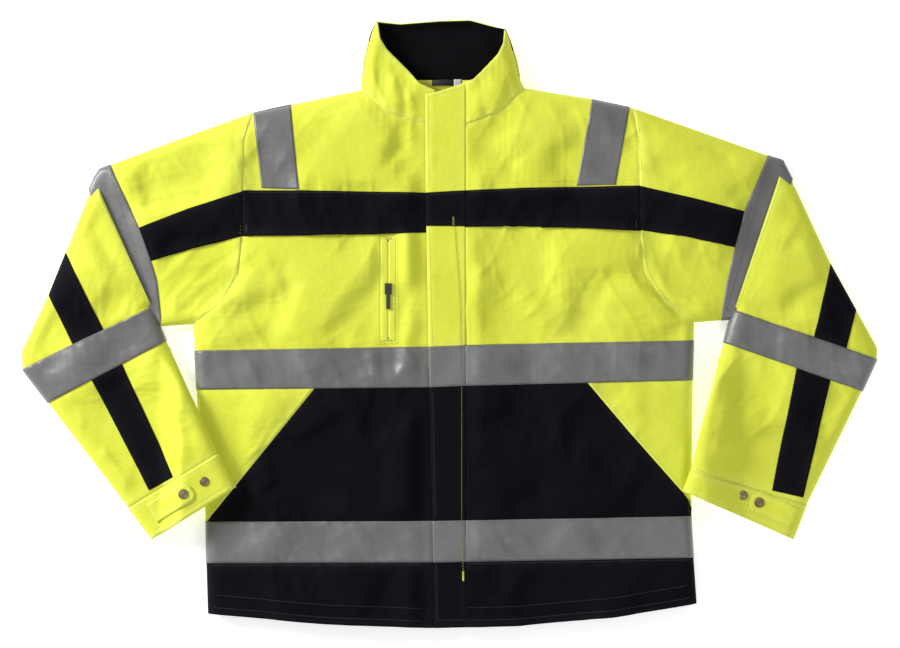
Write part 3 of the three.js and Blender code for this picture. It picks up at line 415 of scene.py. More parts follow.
def drag_lines(x, y):
    """Fine press lines: a narrow wave across a slant that itself wanders, strong only in patches."""
    z = np.zeros(np.shape(x))
    for slant, pitch, height, shift in PRESS_LINES:
        across = x * math.cos(slant) + y * math.sin(slant)
        along = -x * math.sin(slant) + y * math.cos(slant)
        wander = 9 * np.sin(along * 0.021 + shift) + 5 * np.sin(along * 0.047 + across * 0.013)
        patchy = smooth(0.5 + 0.9 * np.sin(across * 0.017 + shift * 2) * np.sin(along * 0.023 + shift))
        crest = 1 - np.abs(np.sin((across + wander) * math.pi / pitch))
        z += height * patchy * (2.2 * crest**3 - 0.5)
    return z


def seam_pull(names, x, y):
    """A groove along each seam, with small puckers beside it."""
    z = np.zeros(np.shape(x))
    for name in names:
        d = distance_to(SEAMS[name], x, y)
        along = x * 0.9 + y * 0.7
        z -= 0.7 * np.exp(-((d / 2.6) ** 2))
        ripple = np.sin(along * 0.33) + 0.6 * np.sin(along * 0.19 + 1.3)
        z += 0.32 * ripple * np.exp(-(((d - 7.0) / 6.0) ** 2))
    return z


# ---- the laid surfaces -----------------------------------------------------------------
def centre_calm(x):
    """0 under the storm flap, 1 clear of it."""
    return smooth((np.abs(x - 2) - 26) / 22)


def beyond_mouth(x, y):
    """1 inside the lower sleeves' mouths, fading to 0 up the upper sleeve."""
    share = np.zeros(np.shape(x))
    for half in HALVES:
        (out_x, out_y), (in_x, in_y) = half.mouth
        near = 1 - smooth((distance_to(half.mouth, x, y) - 6) / 34)
        line_x = out_x + (out_y - y) * (in_x - out_x) / (out_y - in_y)
        inside = (half.sign * x > 340) & (half.sign * x > half.sign * line_x)
        share = np.maximum(share, np.where(inside, 1.0, near))
    return share


def under_forearm(x, y):
    """1 where a forearm may lie on the body."""
    return smooth((np.abs(x) - 232) / 36) * smooth((-46 - y) / 40)


def quarter_round(d):
    """The rise of a folded edge from 0 at the fold to 1 at the rim's width."""
    return np.sqrt(np.clip(1 - (1 - np.clip(d / RIM, 0, 1)) ** 2, 0, 1))


TALLEST_FOLD, DEEPEST_FOLD = 6.5, 5.0


class Surface:
    """A flattened bag of cloth: its folded edges round over and its open ends stay apart.

    A subclass says what raises the whole cloth (`lift`) and the share of its folds that a place
    keeps (`calm`).
    """

    def __init__(self, edges, folds_listed, seams, mid, half, back_edges=()):
        self.edges, self.folds, self.seams = edges, folds_listed, seams
        self.mid, self.half, self.back_edges = mid, half, back_edges

    def height(self, x, y, face):
        """Half an ellipse rises from each folded edge; folds and seams are added inside it."""
        d = np.full(np.shape(x), 1e9)
        for line in self.edges:
            d = np.minimum(d, distance_to(line, x, y))
        low_d = d
        for line in self.back_edges:
            low_d = np.minimum(low_d, distance_to(line, x, y))
        d, low_d = np.maximum(d - 0.4, 0), np.maximum(low_d - 0.4, 0)
        rise, fall = quarter_round(d), quarter_round(low_d)
        inside = smooth((d - 3) / 22)
        calm = self.calm(x, y)
        swell = 3.0 * (1 - np.exp(-d / 55)) * calm
        relief = 1.2 * folds(self.folds, x, y) + 1.1 * sample_buckle(x, y) + 1.3 * drag_lines(x, y)
        limit = np.where(relief > 0, TALLEST_FOLD, DEEPEST_FOLD)
        relief = limit * np.tanh(relief / limit)
        relief = relief * inside * calm + seam_pull(self.seams, x, y) * smooth(d / 6)
        top = self.mid + self.half * rise + swell * inside + relief
        low = self.mid - self.half * fall + 0.12 * inside * (1 + np.sin(x * 0.09) * np.cos(y * 0.07))
        return np.where(face > 0, top, low) + self.lift(x, y, face, np.where(face > 0, rise, fall))


class Body(Surface):
    """The body with its collar and upper sleeves."""

    def lift(self, x, y, face, rise):
        """The upper sleeve thins inside the mouth, and the left front steps up to the flap's seam."""
        share = beyond_mouth(x, y) * rise
        step = 4.5 * smooth((x - 26.6) / 2.4) * (1 - smooth((x - 30) / 60))
        return np.where(face > 0, step - 6.2 * share, 3.2 * share)

    def calm(self, x, y):
        """Flat at the zip, the chest pocket and the mouths, and calmer under the forearms."""
        pocket = smooth((np.abs(x + 70) - 5) / 20) + smooth((np.abs(y - 34) - 84) / 24)
        clear = centre_calm(x) * np.clip(pocket, 0, 1)
        return clear * (1 - beyond_mouth(x, y)) * (1 - 0.7 * under_forearm(x, y))


CLIMB_HEIGHT = 25.6  # how far a forearm rises where it lies on the body
CLIMB_FROM_Y, CLIMB_LENGTH_Y = -34, 58


class Forearm(Surface):
    """A lower sleeve; `climb` says where its rise over the body starts in x, and how long it is."""

    def __init__(self, half, folds_listed):
        side = half.name[0]
        seams = [f"{side}_elbow", f"{side}_elbow_low", f"{side}_cuff"]
        super().__init__([half.sleeve_out, half.sleeve_in], folds_listed, seams, ARM_MID_Z, ARM_LOFT)
        self.mouth, self.cuff, self.climb = half.mouth, half.cuff, half.climb

    def lift(self, x, y, face, rise):
        """The forearm climbs over the body's side, in x and in y, whichever is lower."""
        across = (self.climb[0] - np.abs(x)) / self.climb[1]
        down = (CLIMB_FROM_Y - y) / CLIMB_LENGTH_Y
        curl = np.exp(-((distance_to(self.mouth, x, y) / 5.0) ** 2))
        climb = CLIMB_HEIGHT * smooth(np.minimum(across, down))
        return climb - np.where(face > 0, 1.6 * curl * rise, 0.0)

    def calm(self, x, y):
        """Calmer towards the mouth and nearly flat on the cuff."""
        (ax, ay), (bx, by) = self.cuff
        above = ((bx - ax) * (y - ay) - (by - ay) * (x - ax)) / math.hypot(bx - ax, by - ay)
        cuff = smooth((above - 4) / 30)
        return (0.25 + 0.75 * smooth(distance_to(self.mouth, x, y) / 40)) * (0.2 + 0.8 * cuff)


# Hidden snaps that show through the flap: height up the front, and how far they push it out.
SNAPS = [(212, 1.3), (62, 0.6), (-132, 0.6), (-276, 0.6)]
FLAP_LEVEL = 28.5


class Flap(Surface):
    """The storm flap, which lies over the body's face."""

    def height(self, x, y, face):
        """The flap stands on its stitched edge, lies level over the zip and droops at its free edge."""
        droop = 1.1 * smooth((-13 - x) / 9)
        wave = 0.45 * np.sin(y * 0.043 + x * 0.05) + 0.3 * np.sin(y * 0.091 + 2) - 0.15
        wave = wave * smooth((24 - x) / 20)
        snaps = sum(h * np.exp(-((np.hypot(x + 16, y - at) / 6.0) ** 2)) for at, h in SNAPS)
        return FLAP_LEVEL - droop + wave + snaps + seam_pull(self.seams, x, y) * 0.6


CROSS_SEAMS = ["chest", "waist_top", "waist_low", "hem_tape", "hem"]
BODY_EDGES = [
    *[RIGHT.shoulder, LEFT.shoulder, RIGHT.collar_side, LEFT.collar_side],
    *[RIGHT.underarm, LEFT.underarm, RIGHT.side, LEFT.side],
]
BODY_SEAMS = [*CROSS_SEAMS, "r_armhole", "l_armhole", "neck"]
BODY = Body(BODY_EDGES, BODY_FOLDS, BODY_SEAMS, MID_Z, HALF_LOFT, [COLLAR_TOP])
FLAP = Flap([], [], CROSS_SEAMS, MID_Z, HALF_LOFT)
RIGHT.arm = Forearm(RIGHT, RIGHT_SLEEVE_FOLDS)
LEFT.arm = Forearm(LEFT, LEFT_SLEEVE_FOLDS)


# ---- finishes --------------------------------------------------------------------------
def add_node(tree, kind, **values):
    """A node with its properties and plain input values set by name."""
    n = tree.nodes.new(kind)
    for key, value in values.items():
        if hasattr(n, key):
            setattr(n, key, value)
        else:
            n.inputs[key.replace("_", " ")].default_value = value
    return n


def plug(tree, value, entry):
    """Joins an output to an input, or sets the input to a number or a colour."""
    if isinstance(value, (int, float)):
        entry.default_value = value
    elif isinstance(value, tuple):
        entry.default_value = (*value, 1)
    else:
        tree.links.new(value, entry)


def math_node(tree, operation, *values):
    """The output of one sum over outputs and numbers."""
    n = add_node(tree, "ShaderNodeMath", operation=operation)
    for value, entry in zip(values, n.inputs):
        plug(tree, value, entry)
    return n.outputs[0]


def noise(tree, where, scale, detail, rough, warp=0.0):
    """A cloudy texture from 0 to 1 over a place."""
    n = add_node(
        tree, "ShaderNodeTexNoise", Scale=scale, Detail=detail, Roughness=rough, Distortion=warp
    )
    tree.links.new(where, n.inputs["Vector"])
    return n.outputs[0]


def slant_wave(tree, where, direction, pitch):
    """A sine across one direction of the cut cloth, from 0 to 1."""
    dot = add_node(tree, "ShaderNodeVectorMath", operation="DOT_PRODUCT")
    tree.links.new(where, dot.inputs[0])
    dot.inputs[1].default_value = direction
    turn = math_node(tree, "MULTIPLY", dot.outputs["Value"], 2 * math.pi / pitch)
    return math_node(tree, "MULTIPLY_ADD", math_node(tree, "SINE", turn), 0.5, 0.5)


def start_group(name, labels):
    """A node group with float outputs, and the cut cloth's own UV inside it."""
    g = bpy.data.node_groups.new(name, "ShaderNodeTree")
    for label in labels:
        g.interface.new_socket(name=label, in_out="OUTPUT", socket_type="NodeSocketFloat")
    out = g.nodes.new("NodeGroupOutput")
    return g, out, add_node(g, "ShaderNodeUVMap", uv_map="cut").outputs[0]


def twill_group():
    """Woven twill: a slanted rib crossed by threads, plus slow shade changes and a worn edge."""
    g, out, uv = start_group("twill_cloth", ("Weave", "Shade", "Creases", "Crumple", "Edge"))
    rib = math_node(g, "MULTIPLY", slant_wave(g, uv, (0.8, 0.6, 0), 0.0012), 0.65)
    thread = math_node(g, "MULTIPLY", slant_wave(g, uv, (0.6, -0.8, 0), 0.0007), 0.35)
    slow = noise(g, uv, 9.0, 4.0, 0.55)
    fine = noise(g, uv, 210.0, 3.0, 0.6)
    worn = add_node(g, "ShaderNodeAttribute", attribute_name="margin").outputs["Fac"]
    shade = math_node(g, "MULTIPLY", slow, 0.7), math_node(g, "MULTIPLY", fine, 0.3)
    for label, value in {
        "Weave": math_node(g, "ADD", rib, thread),
        "Shade": math_node(g, "ADD", *shade),
        "Creases": noise(g, uv, 34.0, 5.0, 0.58, 0.6),
        "Crumple": noise(g, uv, 85.0, 4.0, 0.5, 0.9),
        "Edge": math_node(g, "MULTIPLY", math_node(g, "SUBTRACT", 1.0, worn), fine),
    }.items():
        g.links.new(value, out.inputs[label])
    return g


def bead_group():
    """Glass-bead tape: fine beads in rows, and soft crinkles that catch the light."""
    g, out, uv = start_group("bead_tape", ("Beads", "Crinkle", "Wear"))
    beads = add_node(g, "ShaderNodeTexVoronoi", Scale=1500.0)
    g.links.new(uv, beads.inputs["Vector"])
    g.links.new(beads.outputs["Distance"], out.inputs["Beads"])
    g.links.new(noise(g, uv, 26.0, 5.0, 0.62, 1.6), out.inputs["Crinkle"])
    g.links.new(noise(g, uv, 12.0, 6.0, 0.65, 0.8), out.inputs["Wear"])
    return g


TWILL = twill_group()
BEADS = bead_group()


def start_paint(name, group=None):
    """A material's tree and shader, with a node group's outputs where one is given."""
    m = bpy.data.materials.new(name)
    m.use_nodes = True
    t = m.node_tree
    made = add_node(t, "ShaderNodeGroup", node_tree=group).outputs if group else None
    return m, t, t.nodes["Principled BSDF"], made


def dress(t, shader, **values):
    """Sets or joins a shader's inputs by name."""
    for key, value in values.items():
        plug(t, value, shader.inputs[key.replace("_", " ")])


def colour_ramp(t, value, stops):
    """Colours at stops from dark to light, read with one value."""
    ramp = t.nodes.new("ShaderNodeValToRGB")
    while len(ramp.color_ramp.elements) < len(stops):
        ramp.color_ramp.elements.new(0.5)
    for element, (place, colour) in zip(ramp.color_ramp.elements, stops):
        element.position = place
        element.color = (*colour, 1)
    t.links.new(value, ramp.inputs[0])
    return ramp.outputs[0]


def mix_colour(t, share, a, b):
    """One colour turning into another by a share."""
    n = add_node(t, "ShaderNodeMix", data_type="RGBA", blend_type="MIX")
    for value, index in ((share, 0), (a, 6), (b, 7)):
        plug(t, value, n.inputs[index])
    return n.outputs[2]


def bumps(t, shader, listed):
    """Bump nodes one after another, each with its height, strength and depth in metres."""
    last = None
    for height, strength, depth in listed:
        b = add_node(t, "ShaderNodeBump", Strength=strength, Distance=depth)
        t.links.new(height, b.inputs["Height"])
        if last:
            t.links.new(last, b.inputs["Normal"])
        last = b.outputs[0]
    t.links.new(last, shader.inputs["Normal"])


def cloth_paint(name, shades, edge, rough, sheen, weave_depth, glow=0.0, specular=0.18):
    """Twill in three shades of one dye, paler and fuzzier where an edge rubs; `glow` is a painted glow.
    """
    m, t, shader, twill = start_paint(name, TWILL)
    dark, light = shades[0], shades[2]
    colour = colour_ramp(t, twill["Shade"], list(zip((0.3, 0.5, 0.7), shades)))
    colour = mix_colour(t, math_node(t, "MULTIPLY", twill["Weave"], 0.16), colour, dark)
    colour = mix_colour(t, math_node(t, "MULTIPLY", twill["Edge"], 0.6), colour, edge)
    dress(
        t,
        shader,
        Base_Color=colour,
        Roughness=math_node(t, "MULTIPLY_ADD", twill["Creases"], 0.12, rough),
        Sheen_Weight=sheen,
        Sheen_Roughness=0.5,
        Sheen_Tint=light,
        Specular_IOR_Level=specular,
    )
    # Painted glow: the cloth's own colour is emitted, standing in for the yellow's fluorescence.
    if glow:
        dress(t, shader, Emission_Color=colour, Emission_Strength=glow)
    heights = [("Creases", 0.6, 0.0018), ("Crumple", 0.45, 0.0009), ("Weave", 0.35, weave_depth)]
    bumps(t, shader, [(twill[label], strength, depth) for label, strength, depth in heights])
    return m


def tape_paint():
    """Grey reflective tape with a faint clear coat, darker where it is worn."""
    m, t, shader, beads = start_paint("silver_tape", BEADS)
    greys = [(0.128, 0.128, 0.127), (0.150, 0.150, 0.149), (0.182, 0.182, 0.181)]
    dress(
        t,
        shader,
        Base_Color=colour_ramp(t, beads["Wear"], list(zip((0.3, 0.52, 0.72), greys))),
        Roughness=math_node(t, "MULTIPLY_ADD", beads["Crinkle"], -0.35, 0.6),
        Specular_IOR_Level=0.6,
        Coat_Weight=0.12,
        Coat_Roughness=0.3,
    )
    bumps(t, shader, [(beads["Crinkle"], 0.42, 0.0022), (beads["Beads"], 0.25, 0.0001)])
    return m


def plain_paint(name, dark, light, rough, metal=0.0, scale=900, depth=0.0001, uneven=0.2):
    """Moulded plastic, thread or metal: grain, colour change and uneven gloss."""
    m, t, shader, _ = start_paint(name)
    where = t.nodes.new("ShaderNodeTexCoord").outputs["Object"]
    grain = noise(t, where, scale, 5.0, 0.6)
    smear = noise(t, where, scale * 0.12, 3.0, 0.5)
    dress(
        t,
        shader,
        Base_Color=colour_ramp(t, smear, [(0.35, dark), (0.65, light)]),
        Roughness=math_node(t, "MULTIPLY_ADD", grain, uneven, rough),
        Metallic=metal,
    )
    bumps(t, shader, [(grain, 0.3, depth)])
    return m


YELLOW_SHADES = (0.62, 0.665, 0.042), (0.68, 0.73, 0.062), (0.73, 0.785, 0.082)
NAVY_SHADES = (0.0020, 0.0018, 0.0034), (0.0029, 0.0026, 0.0048), (0.0046, 0.0042, 0.0076)
LINING_SHADES = (0.0018, 0.0018, 0.0029), (0.0028, 0.0028, 0.0044), (0.0046, 0.0046, 0.0075)
NAVY_EDGE = (0.014, 0.014, 0.020)
# The yellow's last number, 0.05, is a painted glow standing in for its fluorescence.
yellow = cloth_paint("yellow_twill", YELLOW_SHADES, (0.81, 0.85, 0.20), 0.62, 0.10, 0.00018, 0.05)
navy = cloth_paint("navy_twill", NAVY_SHADES, NAVY_EDGE, 0.78, 0.01, 0.00018, specular=0.09)
lining_navy = cloth_paint("navy_lining", LINING_SHADES, NAVY_EDGE, 0.8, 0.01, 0.00012, specular=0.09)
silver = tape_paint()
yellow_thread = plain_paint("yellow_thread", (0.60, 0.67, 0.06), (0.72, 0.78, 0.12), 0.5)
olive_thread = plain_paint("olive_thread", (0.20, 0.22, 0.05), (0.30, 0.33, 0.08), 0.5)
navy_thread = plain_paint("navy_thread", (0.012, 0.012, 0.02), (0.03, 0.03, 0.045), 0.5)
grey_thread = plain_paint("grey_thread", (0.10, 0.10, 0.105), (0.17, 0.17, 0.175), 0.5)
black = plain_paint("black_trim", (0.010, 0.010, 0.011), (0.02, 0.02, 0.021), 0.42, 0.0, 420, 0.00015)
zip_teeth = plain_paint("zip_plastic", (0.012, 0.012, 0.016), (0.024, 0.024, 0.03), 0.32, 0.0, 500)
brass = plain_paint("dull_brass", (0.20, 0.145, 0.075), (0.34, 0.27, 0.16), 0.36, 0.9, 260)
steel = plain_paint("zip_steel", (0.22, 0.21, 0.20), (0.42, 0.41, 0.40), 0.26, 1.0, 260)
dark_metal = plain_paint("dark_zip_metal", (0.05, 0.05, 0.045), (0.11, 0.11, 0.10), 0.34, 0.8, 260)
label_white = plain_paint("woven_label", (0.52, 0.52, 0.50), (0.66, 0.66, 0.64), 0.7, 0.0, 700)
floor_paint = plain_paint("pale_floor", (0.93, 0.93, 0.93), (0.96, 0.96, 0.96), 0.8, 0.0, 30, uneven=0.1)


# ---- building cloth pieces -------------------------------------------------------------
def length_of(p):
    """The length of a polyline."""
    return float(np.linalg.norm(np.diff(np.asarray(p, float), axis=0), axis=1).sum())


def stations(length, step, low=False, high=False):
    """Shares along a panel: even steps, with a quarter circle's stations at a folded end."""
    rim = min(RIM, length * 0.4)
    quarter = rim * (1 - np.cos(np.linspace(0, math.pi / 2, 7)))
    start = quarter if low else np.zeros(1)
    end = length - (quarter[::-1] if high else np.zeros(1))
    count = max(2, int((end[0] - start[-1]) / step) + 2)
    return np.concatenate([start[:-1], np.linspace(start[-1], end[0], count), end[1:]]) / length


def coons(top, bottom, left, right, u, v):
    """A patch between four edges: the two ruled blends, less the corners' blend."""
    u, v = u[None, :, None], v[:, None, None]
    ruled_v = (1 - v) * top[None] + v * bottom[None]
    ruled_u = (1 - u) * left[:, None] + u * right[:, None]
    corners = (1 - v) * ((1 - u) * left[0] + u * right[0]) + v * ((1 - u) * left[-1] + u * right[-1])
    return ruled_v + ruled_u - corners


def patch(top, bottom, left=None, right=None, step=STEP, low=False, high=False, first=False):
    """Plan points of a panel, left to right and down; a side that isn't given is straight.

    `low`, `high` and `first` say that the left, right or top edge is folded.
    """
    left = [top[0], bottom[0]] if left is None else left
    right = [top[-1], bottom[-1]] if right is None else right
    u = stations(0.5 * (length_of(top) + length_of(bottom)), step, low, high)
    v = stations(0.5 * (length_of(left) + length_of(right)), step, first)
    return coons(follow(top, u), follow(bottom, u), follow(left, v), follow(right, v), u, v)


def normals_of(p, ring):
    """Unit normals of a grid, from the cross product of its two directions."""
    if ring:
        p = np.concatenate([p[:, -1:], p, p[:, :1]], axis=1)
    n = np.cross(np.gradient(p, axis=1), np.gradient(p, axis=0))
    n = n / np.maximum(np.linalg.norm(n, axis=-1, keepdims=True), 1e-9)
    return n[:, 1:-1] if ring else n


def make_mesh(name, points, faces, *paints):
    """An object of millimetre points, faces and materials."""
    mesh = bpy.data.meshes.new(name)
    mesh.from_pydata(to_row(points).tolist(), [], faces)
    mesh.shade_smooth()
    for paint in paints:
        mesh.materials.append(paint)
    return link(name, mesh)


def thicken(made, thick):
    """A wall under the laid face; returns the modifier."""
    wall = made.modifiers.new("wall", "SOLIDIFY")
    wall.thickness, wall.offset = thick * MM, -1.0
    return wall


def from_end(count):
    """0 at both ends of a row of points, rising to 1 over four steps."""
    k = np.arange(count)
    return np.clip(np.minimum(k, count - 1 - k) / 4.0, 0, 1)


def cloth(name, plan, surface, paint, face=1, level=0.0, lining=None, thick=1.2, ring=False):
    """A cut of cloth: its plan laid on the surface, raised along the normals, with a UV in metres."""
    x, y = plan[..., 0], plan[..., 1]
    face = np.broadcast_to(face, x.shape)
    grid = np.stack([x, y, surface.height(x, y, face)], -1)
    n = normals_of(grid, ring)
    turned = np.sign(np.sum(n[..., 2] * face))
    grid = grid + n * turned * (np.asarray(level)[..., None] if np.ndim(level) else level)
    grid[..., 2] = np.maximum(grid[..., 2], FLOOR_GAP)
    rows, cols = x.shape
    faces = grid_faces(rows, cols, ring)
    faces = (faces if turned > 0 else faces[:, ::-1]).tolist()
    made = make_mesh(name, grid.reshape(-1, 3), faces, paint, lining or paint)
    mesh = made.data
    index = np.empty(len(mesh.loops), int)
    mesh.loops.foreach_get("vertex_index", index)
    cut = mesh.uv_layers.new(name="cut")
    cut.data.foreach_set("uv", (plan.reshape(-1, 2) * MM)[index].astype(np.float32).ravel())
    margin = np.minimum(from_end(rows)[:, None], 1.0 if ring else from_end(cols)[None, :])
    worn = mesh.attributes.new("margin", "FLOAT", "POINT")
    worn.data.foreach_set("value", np.broadcast_to(margin, x.shape).astype(np.float32).ravel())
    thicken(made, thick).material_offset = 1
    return made


def bend_front(made):
    """Bakes the piece's placement into its mesh."""
    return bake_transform(made)


def finish_piece(made, where, paint, *nodes):
    """Hides the parts it stands for, then bakes the piece or hangs it on its body; `paint` is not used.
    """
    if nodes:
        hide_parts(*nodes)
    if where in ("right", "left"):
        return bend_front(made)
    if where == "flap":
        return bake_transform(made)
    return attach(made, where)


def lay(name, plan, surface, paint, where, *nodes, **how):
    """Cuts a piece, lays it on a surface and finishes it."""
    return finish_piece(cloth(name, plan, surface, paint, **how), where, paint, *nodes)


def lay_ring(name, outer, inner, surface, paint, where, node, top=None, bottom=None, **how):
    """A flattened tube: across its upper face and back along its lower face."""
    top = [outer[0], inner[0]] if top is None else top
    bottom = [outer[-1], inner[-1]] if bottom is None else bottom
    upper = patch(top, bottom, outer, inner, low=True, high=True)
    face = np.concatenate([np.ones(upper.shape[1]), -np.ones(upper.shape[1] - 2)])
    plan = np.concatenate([upper, upper[:, -2:0:-1]], axis=1)
    return lay(name, plan, surface, paint, where, node, face=face, ring=True, **how)


def line_at(points, x0, x1):
    """The part of a left-to-right line between two x, ends included."""
    p = sorted(points)
    inner = [q for q in p if min(x0, x1) < q[0] < max(x0, x1)]
    run = [at_x(p, min(x0, x1)), *inner, at_x(p, max(x0, x1))]
    return run if x0 < x1 else run[::-1]


def side_between(points, y0, y1):
    """The part of a top-to-bottom line between two y, ends included."""
    inner = [q for q in points if min(y0, y1) < q[1] < max(y0, y1)]
    return [at_y(points, y0), *inner, at_y(points, y1)]


def build_front(half):
    """One front: chest, lower panel, side gusset, hem band, and the bands across them."""
    name, sign, pocket = half.name, half.sign, half.pocket
    edge = sign * ZIP_EDGE
    hip_out = side_between(half.side, half.side[0][1] - 0.01, HIP_SEAM[half.end][1])
    outer = [*half.armhole[:-1], *hip_out]
    hip = line_at(HIP_SEAM, edge, outer[-1][0])
    plan = patch(half.neck, hip, right=outer, high=True, first=True)
    nodes = f"front_{name}_panel", f"side_{name}_panel"
    lay(f"chest_panel_{name}", plan, BODY, yellow, name, *nodes, lining=lining_navy)

    hem_seam = line_at(HEM_SEAM, edge, pocket[-1][0])
    inner_hip = line_at(HIP_SEAM, edge, pocket[0][0])
    plan = patch(inner_hip, hem_seam, right=[inner_hip[-1], *pocket[1:-1], hem_seam[-1]])
    nodes = f"front_{name}_lower_panel", f"side_{name}_lower_panel"
    lay(f"lower_panel_{name}", plan, BODY, navy, name, *nodes, lining=lining_navy)

    outer_hip = line_at(HIP_SEAM, pocket[0][0], outer[-1][0])
    side_run = side_between(half.side, outer[-1][1], pocket[-1][1] + 6)
    pocket_run = [outer_hip[0], *pocket[1:-1], (side_run[-1][0] - sign * 3, side_run[-1][1])]
    plan = patch(outer_hip, [pocket_run[-1], side_run[-1]], pocket_run, side_run)
    how = {"level": 0.25, "lining": lining_navy, "thick": 1.0}
    lay(f"gusset_{name}", plan, BODY, yellow, "torso", f"side_{name}_gusset", **how)

    hem_side = side_between(half.side, HEM_SEAM[half.end][1], half.side[-1][1])
    hem_top = line_at(HEM_SEAM, edge, hem_side[0][0])
    plan = patch(hem_top, line_at(HEM, edge, hem_side[-1][0]), right=hem_side, high=True)
    how = {"level": 0.3, "lining": lining_navy, "thick": 1.4}
    lay(f"hem_band_{name}", plan, BODY, navy, name, f"front_{name}_hem_band", **how)

    for label, (high, low) in TAPES.items():
        end = side_between(half.side, high[half.end][1], low[half.end][1])
        upper, lower = line_at(high, edge, end[0][0]), line_at(low, edge, end[-1][0])
        plan = patch(upper, lower, right=end, high=True)
        node = f"front_{name}_{label}_tape"
        lay(f"{label}_tape_{name}_front", plan, BODY, silver, name, node, level=0.9, thick=TAPE_WALL)

    plan = patch(line_at(BAND_TOP, edge, half.chest_end), line_at(BAND_LOW, edge, half.chest_end))
    x = plan[..., 0]
    drop = np.linspace(0, 1, plan.shape[0])[:, None]
    free = smooth((np.abs(x) - 40) / 30) * smooth((abs(half.chest_end) - np.abs(x)) / 14)
    wave = 0.55 + 0.45 * np.sin(x * 0.061 + 0.8) * np.sin(x * 0.023 + 2.1)
    how = {"level": 0.95 + free * drop**2 * (0.7 + 2.6 * wave), "lining": lining_navy, "thick": 0.9}
    nodes = f"front_{name}_chest_band", f"side_{name}_chest_band"
    lay(f"chest_band_{name}", plan, BODY, navy, name, *nodes, **how)


def build_collar():
    """Two collar fronts over the collar's back, which is lined in navy."""
    for half in HALVES:
        name, top = half.name, half.collar_top
        plan = patch(top, half.neck[:4], right=half.collar_side, high=True)
        level = 1.2 * np.exp(-((distance_to(top, plan[..., 0], plan[..., 1]) / 9.0) ** 2)) + 0.3
        how = {"level": level, "lining": lining_navy, "thick": 1.8}
        lay(f"collar_front_{name}", plan, BODY, yellow, name, f"collar_{name}_front", **how)
    sides = RIGHT.collar_side, LEFT.collar_side
    folded = {"low": True, "high": True, "first": True}
    plan = patch(COLLAR_TOP, BACK_NECK, *sides, **folded)
    lay("collar_back_shell", plan, BODY, yellow, "torso", "collar_back", face=-1, lining=lining_navy)
    inner = [[(x - half.sign * 3.4, y - 0.5) for x, y in half.collar_side] for half in HALVES]
    top = [inner[0][0], *[(x, y - 0.4) for x, y in COLLAR_TOP[1:-1]], inner[1][0]]
    seam = [inner[0][-1], *BACK_NECK[1:-1], inner[1][-1]]
    plan = patch(top, seam, *inner, **folded)
    x, y = plan[..., 0], plan[..., 1]
    ripple = 0.7 * np.sin(x * 0.07 + y * 0.03) * smooth((y - 306) / 20)
    how = {"face": -1, "level": -1.5 - np.abs(ripple), "thick": 0.9}
    lay("collar_lining_cloth", plan, BODY, lining_navy, "torso", "collar_lining", **how)
    facing = patch([(-60, 313), (60, 313)], [(-74, 296), (74, 296)], step=5)
    lay("neck_facing", facing, BODY, yellow, "torso", face=-1, level=-4.6, thick=0.8)
    tag = patch([(14, 314), (24, 314)], [(14, 304), (24, 304)], step=2.5)
    lay("size_tag", tag, BODY, label_white, "torso", face=-1, level=-5.4, thick=0.4)


def build_flap():
    """The storm flap over the zip: collar part and chest in yellow, lower part in navy, bands across."""
    left = [(-23, 294), (-22, 171), (-19, 0), (-18, -56)]
    collar = [(-23, 294), (-4, 298), (21, 306), (FLAP_ROOT, 309)]
    hip = line_at(HIP_SEAM, -18, FLAP_ROOT)
    plan = patch(collar, hip, left, step=FLAP_STEP)
    lay("flap_upper", plan, FLAP, yellow, "flap", "storm_flap", lining=lining_navy)
    low = line_at(HEM, -11, FLAP_ROOT)
    plan = patch(hip, low, [(-18, -56), (-13, -255), (-11, low[0][1])], step=FLAP_STEP)
    lay("flap_lower", plan, FLAP, navy, "flap", "storm_flap_lower", lining=lining_navy)
    for name, high, low, paint, level, thick in (
        ("chest_band", BAND_TOP, FLAP_BAND_LOW, navy, 0.9, 0.8),
        ("waist_tape", *TAPES["waist"], silver, 0.6, TAPE_WALL),
        ("hem_tape", *TAPES["hem"], silver, 0.6, TAPE_WALL),
    ):
        x0 = at_y(FLAP_EDGE, high[2][1])[0] - 0.3
        x1 = at_y(FLAP_EDGE, low[1][1])[0] - 0.3
        plan = patch(line_at(high, x0, FLAP_ROOT), line_at(low, x1, FLAP_ROOT), step=FLAP_STEP)
        lay(f"flap_{name}_cloth", plan, FLAP, paint, "flap", f"flap_{name}", level=level, thick=thick)


def build_back():
    """The back in two cuts, with its tapes."""
    folded = {"step": BACK_STEP, "low": True, "high": True}
    top = [(-243, 271), *BACK_NECK, (188, 289), (243, 277)]
    hem_seam = line_at(HEM_SEAM, at_y(RIGHT.side, -306)[0], at_y(LEFT.side, -299)[0])
    left = [*RIGHT.armhole[:-1], *side_between(RIGHT.side, -0.01, -306)]
    right = [*LEFT.armhole[:-1], *side_between(LEFT.side, 1.99, -299)]
    plan = patch(top, hem_seam, left, right, first=True, **folded)
    lay("back_cloth", plan, BODY, yellow, "torso", "back_panel", face=-1, lining=lining_navy)
    ends = side_between(RIGHT.side, -306, -371), side_between(LEFT.side, -299, -358)
    plan = patch(hem_seam, line_at(HEM, -301, 325), *ends, **folded)
    how = {"face": -1, "level": 0.2, "lining": lining_navy, "thick": 1.4}
    lay("back_hem_cloth", plan, BODY, navy, "torso", "back_hem_band", **how)
    for name, (high, low) in TAPES.items():
        left = side_between(RIGHT.side, high[0][1], low[0][1])
        right = side_between(LEFT.side, high[-1][1], low[-1][1])
        upper, lower = line_at(high, left[0][0], right[0][0]), line_at(low, left[-1][0], right[-1][0])
        plan = patch(upper, lower, left, right, **folded)
        how = {"face": -1, "level": 0.75, "thick": TAPE_WALL}
        lay(f"{name}_tape_back", plan, BODY, silver, "torso", f"back_{name}_tape", **how)


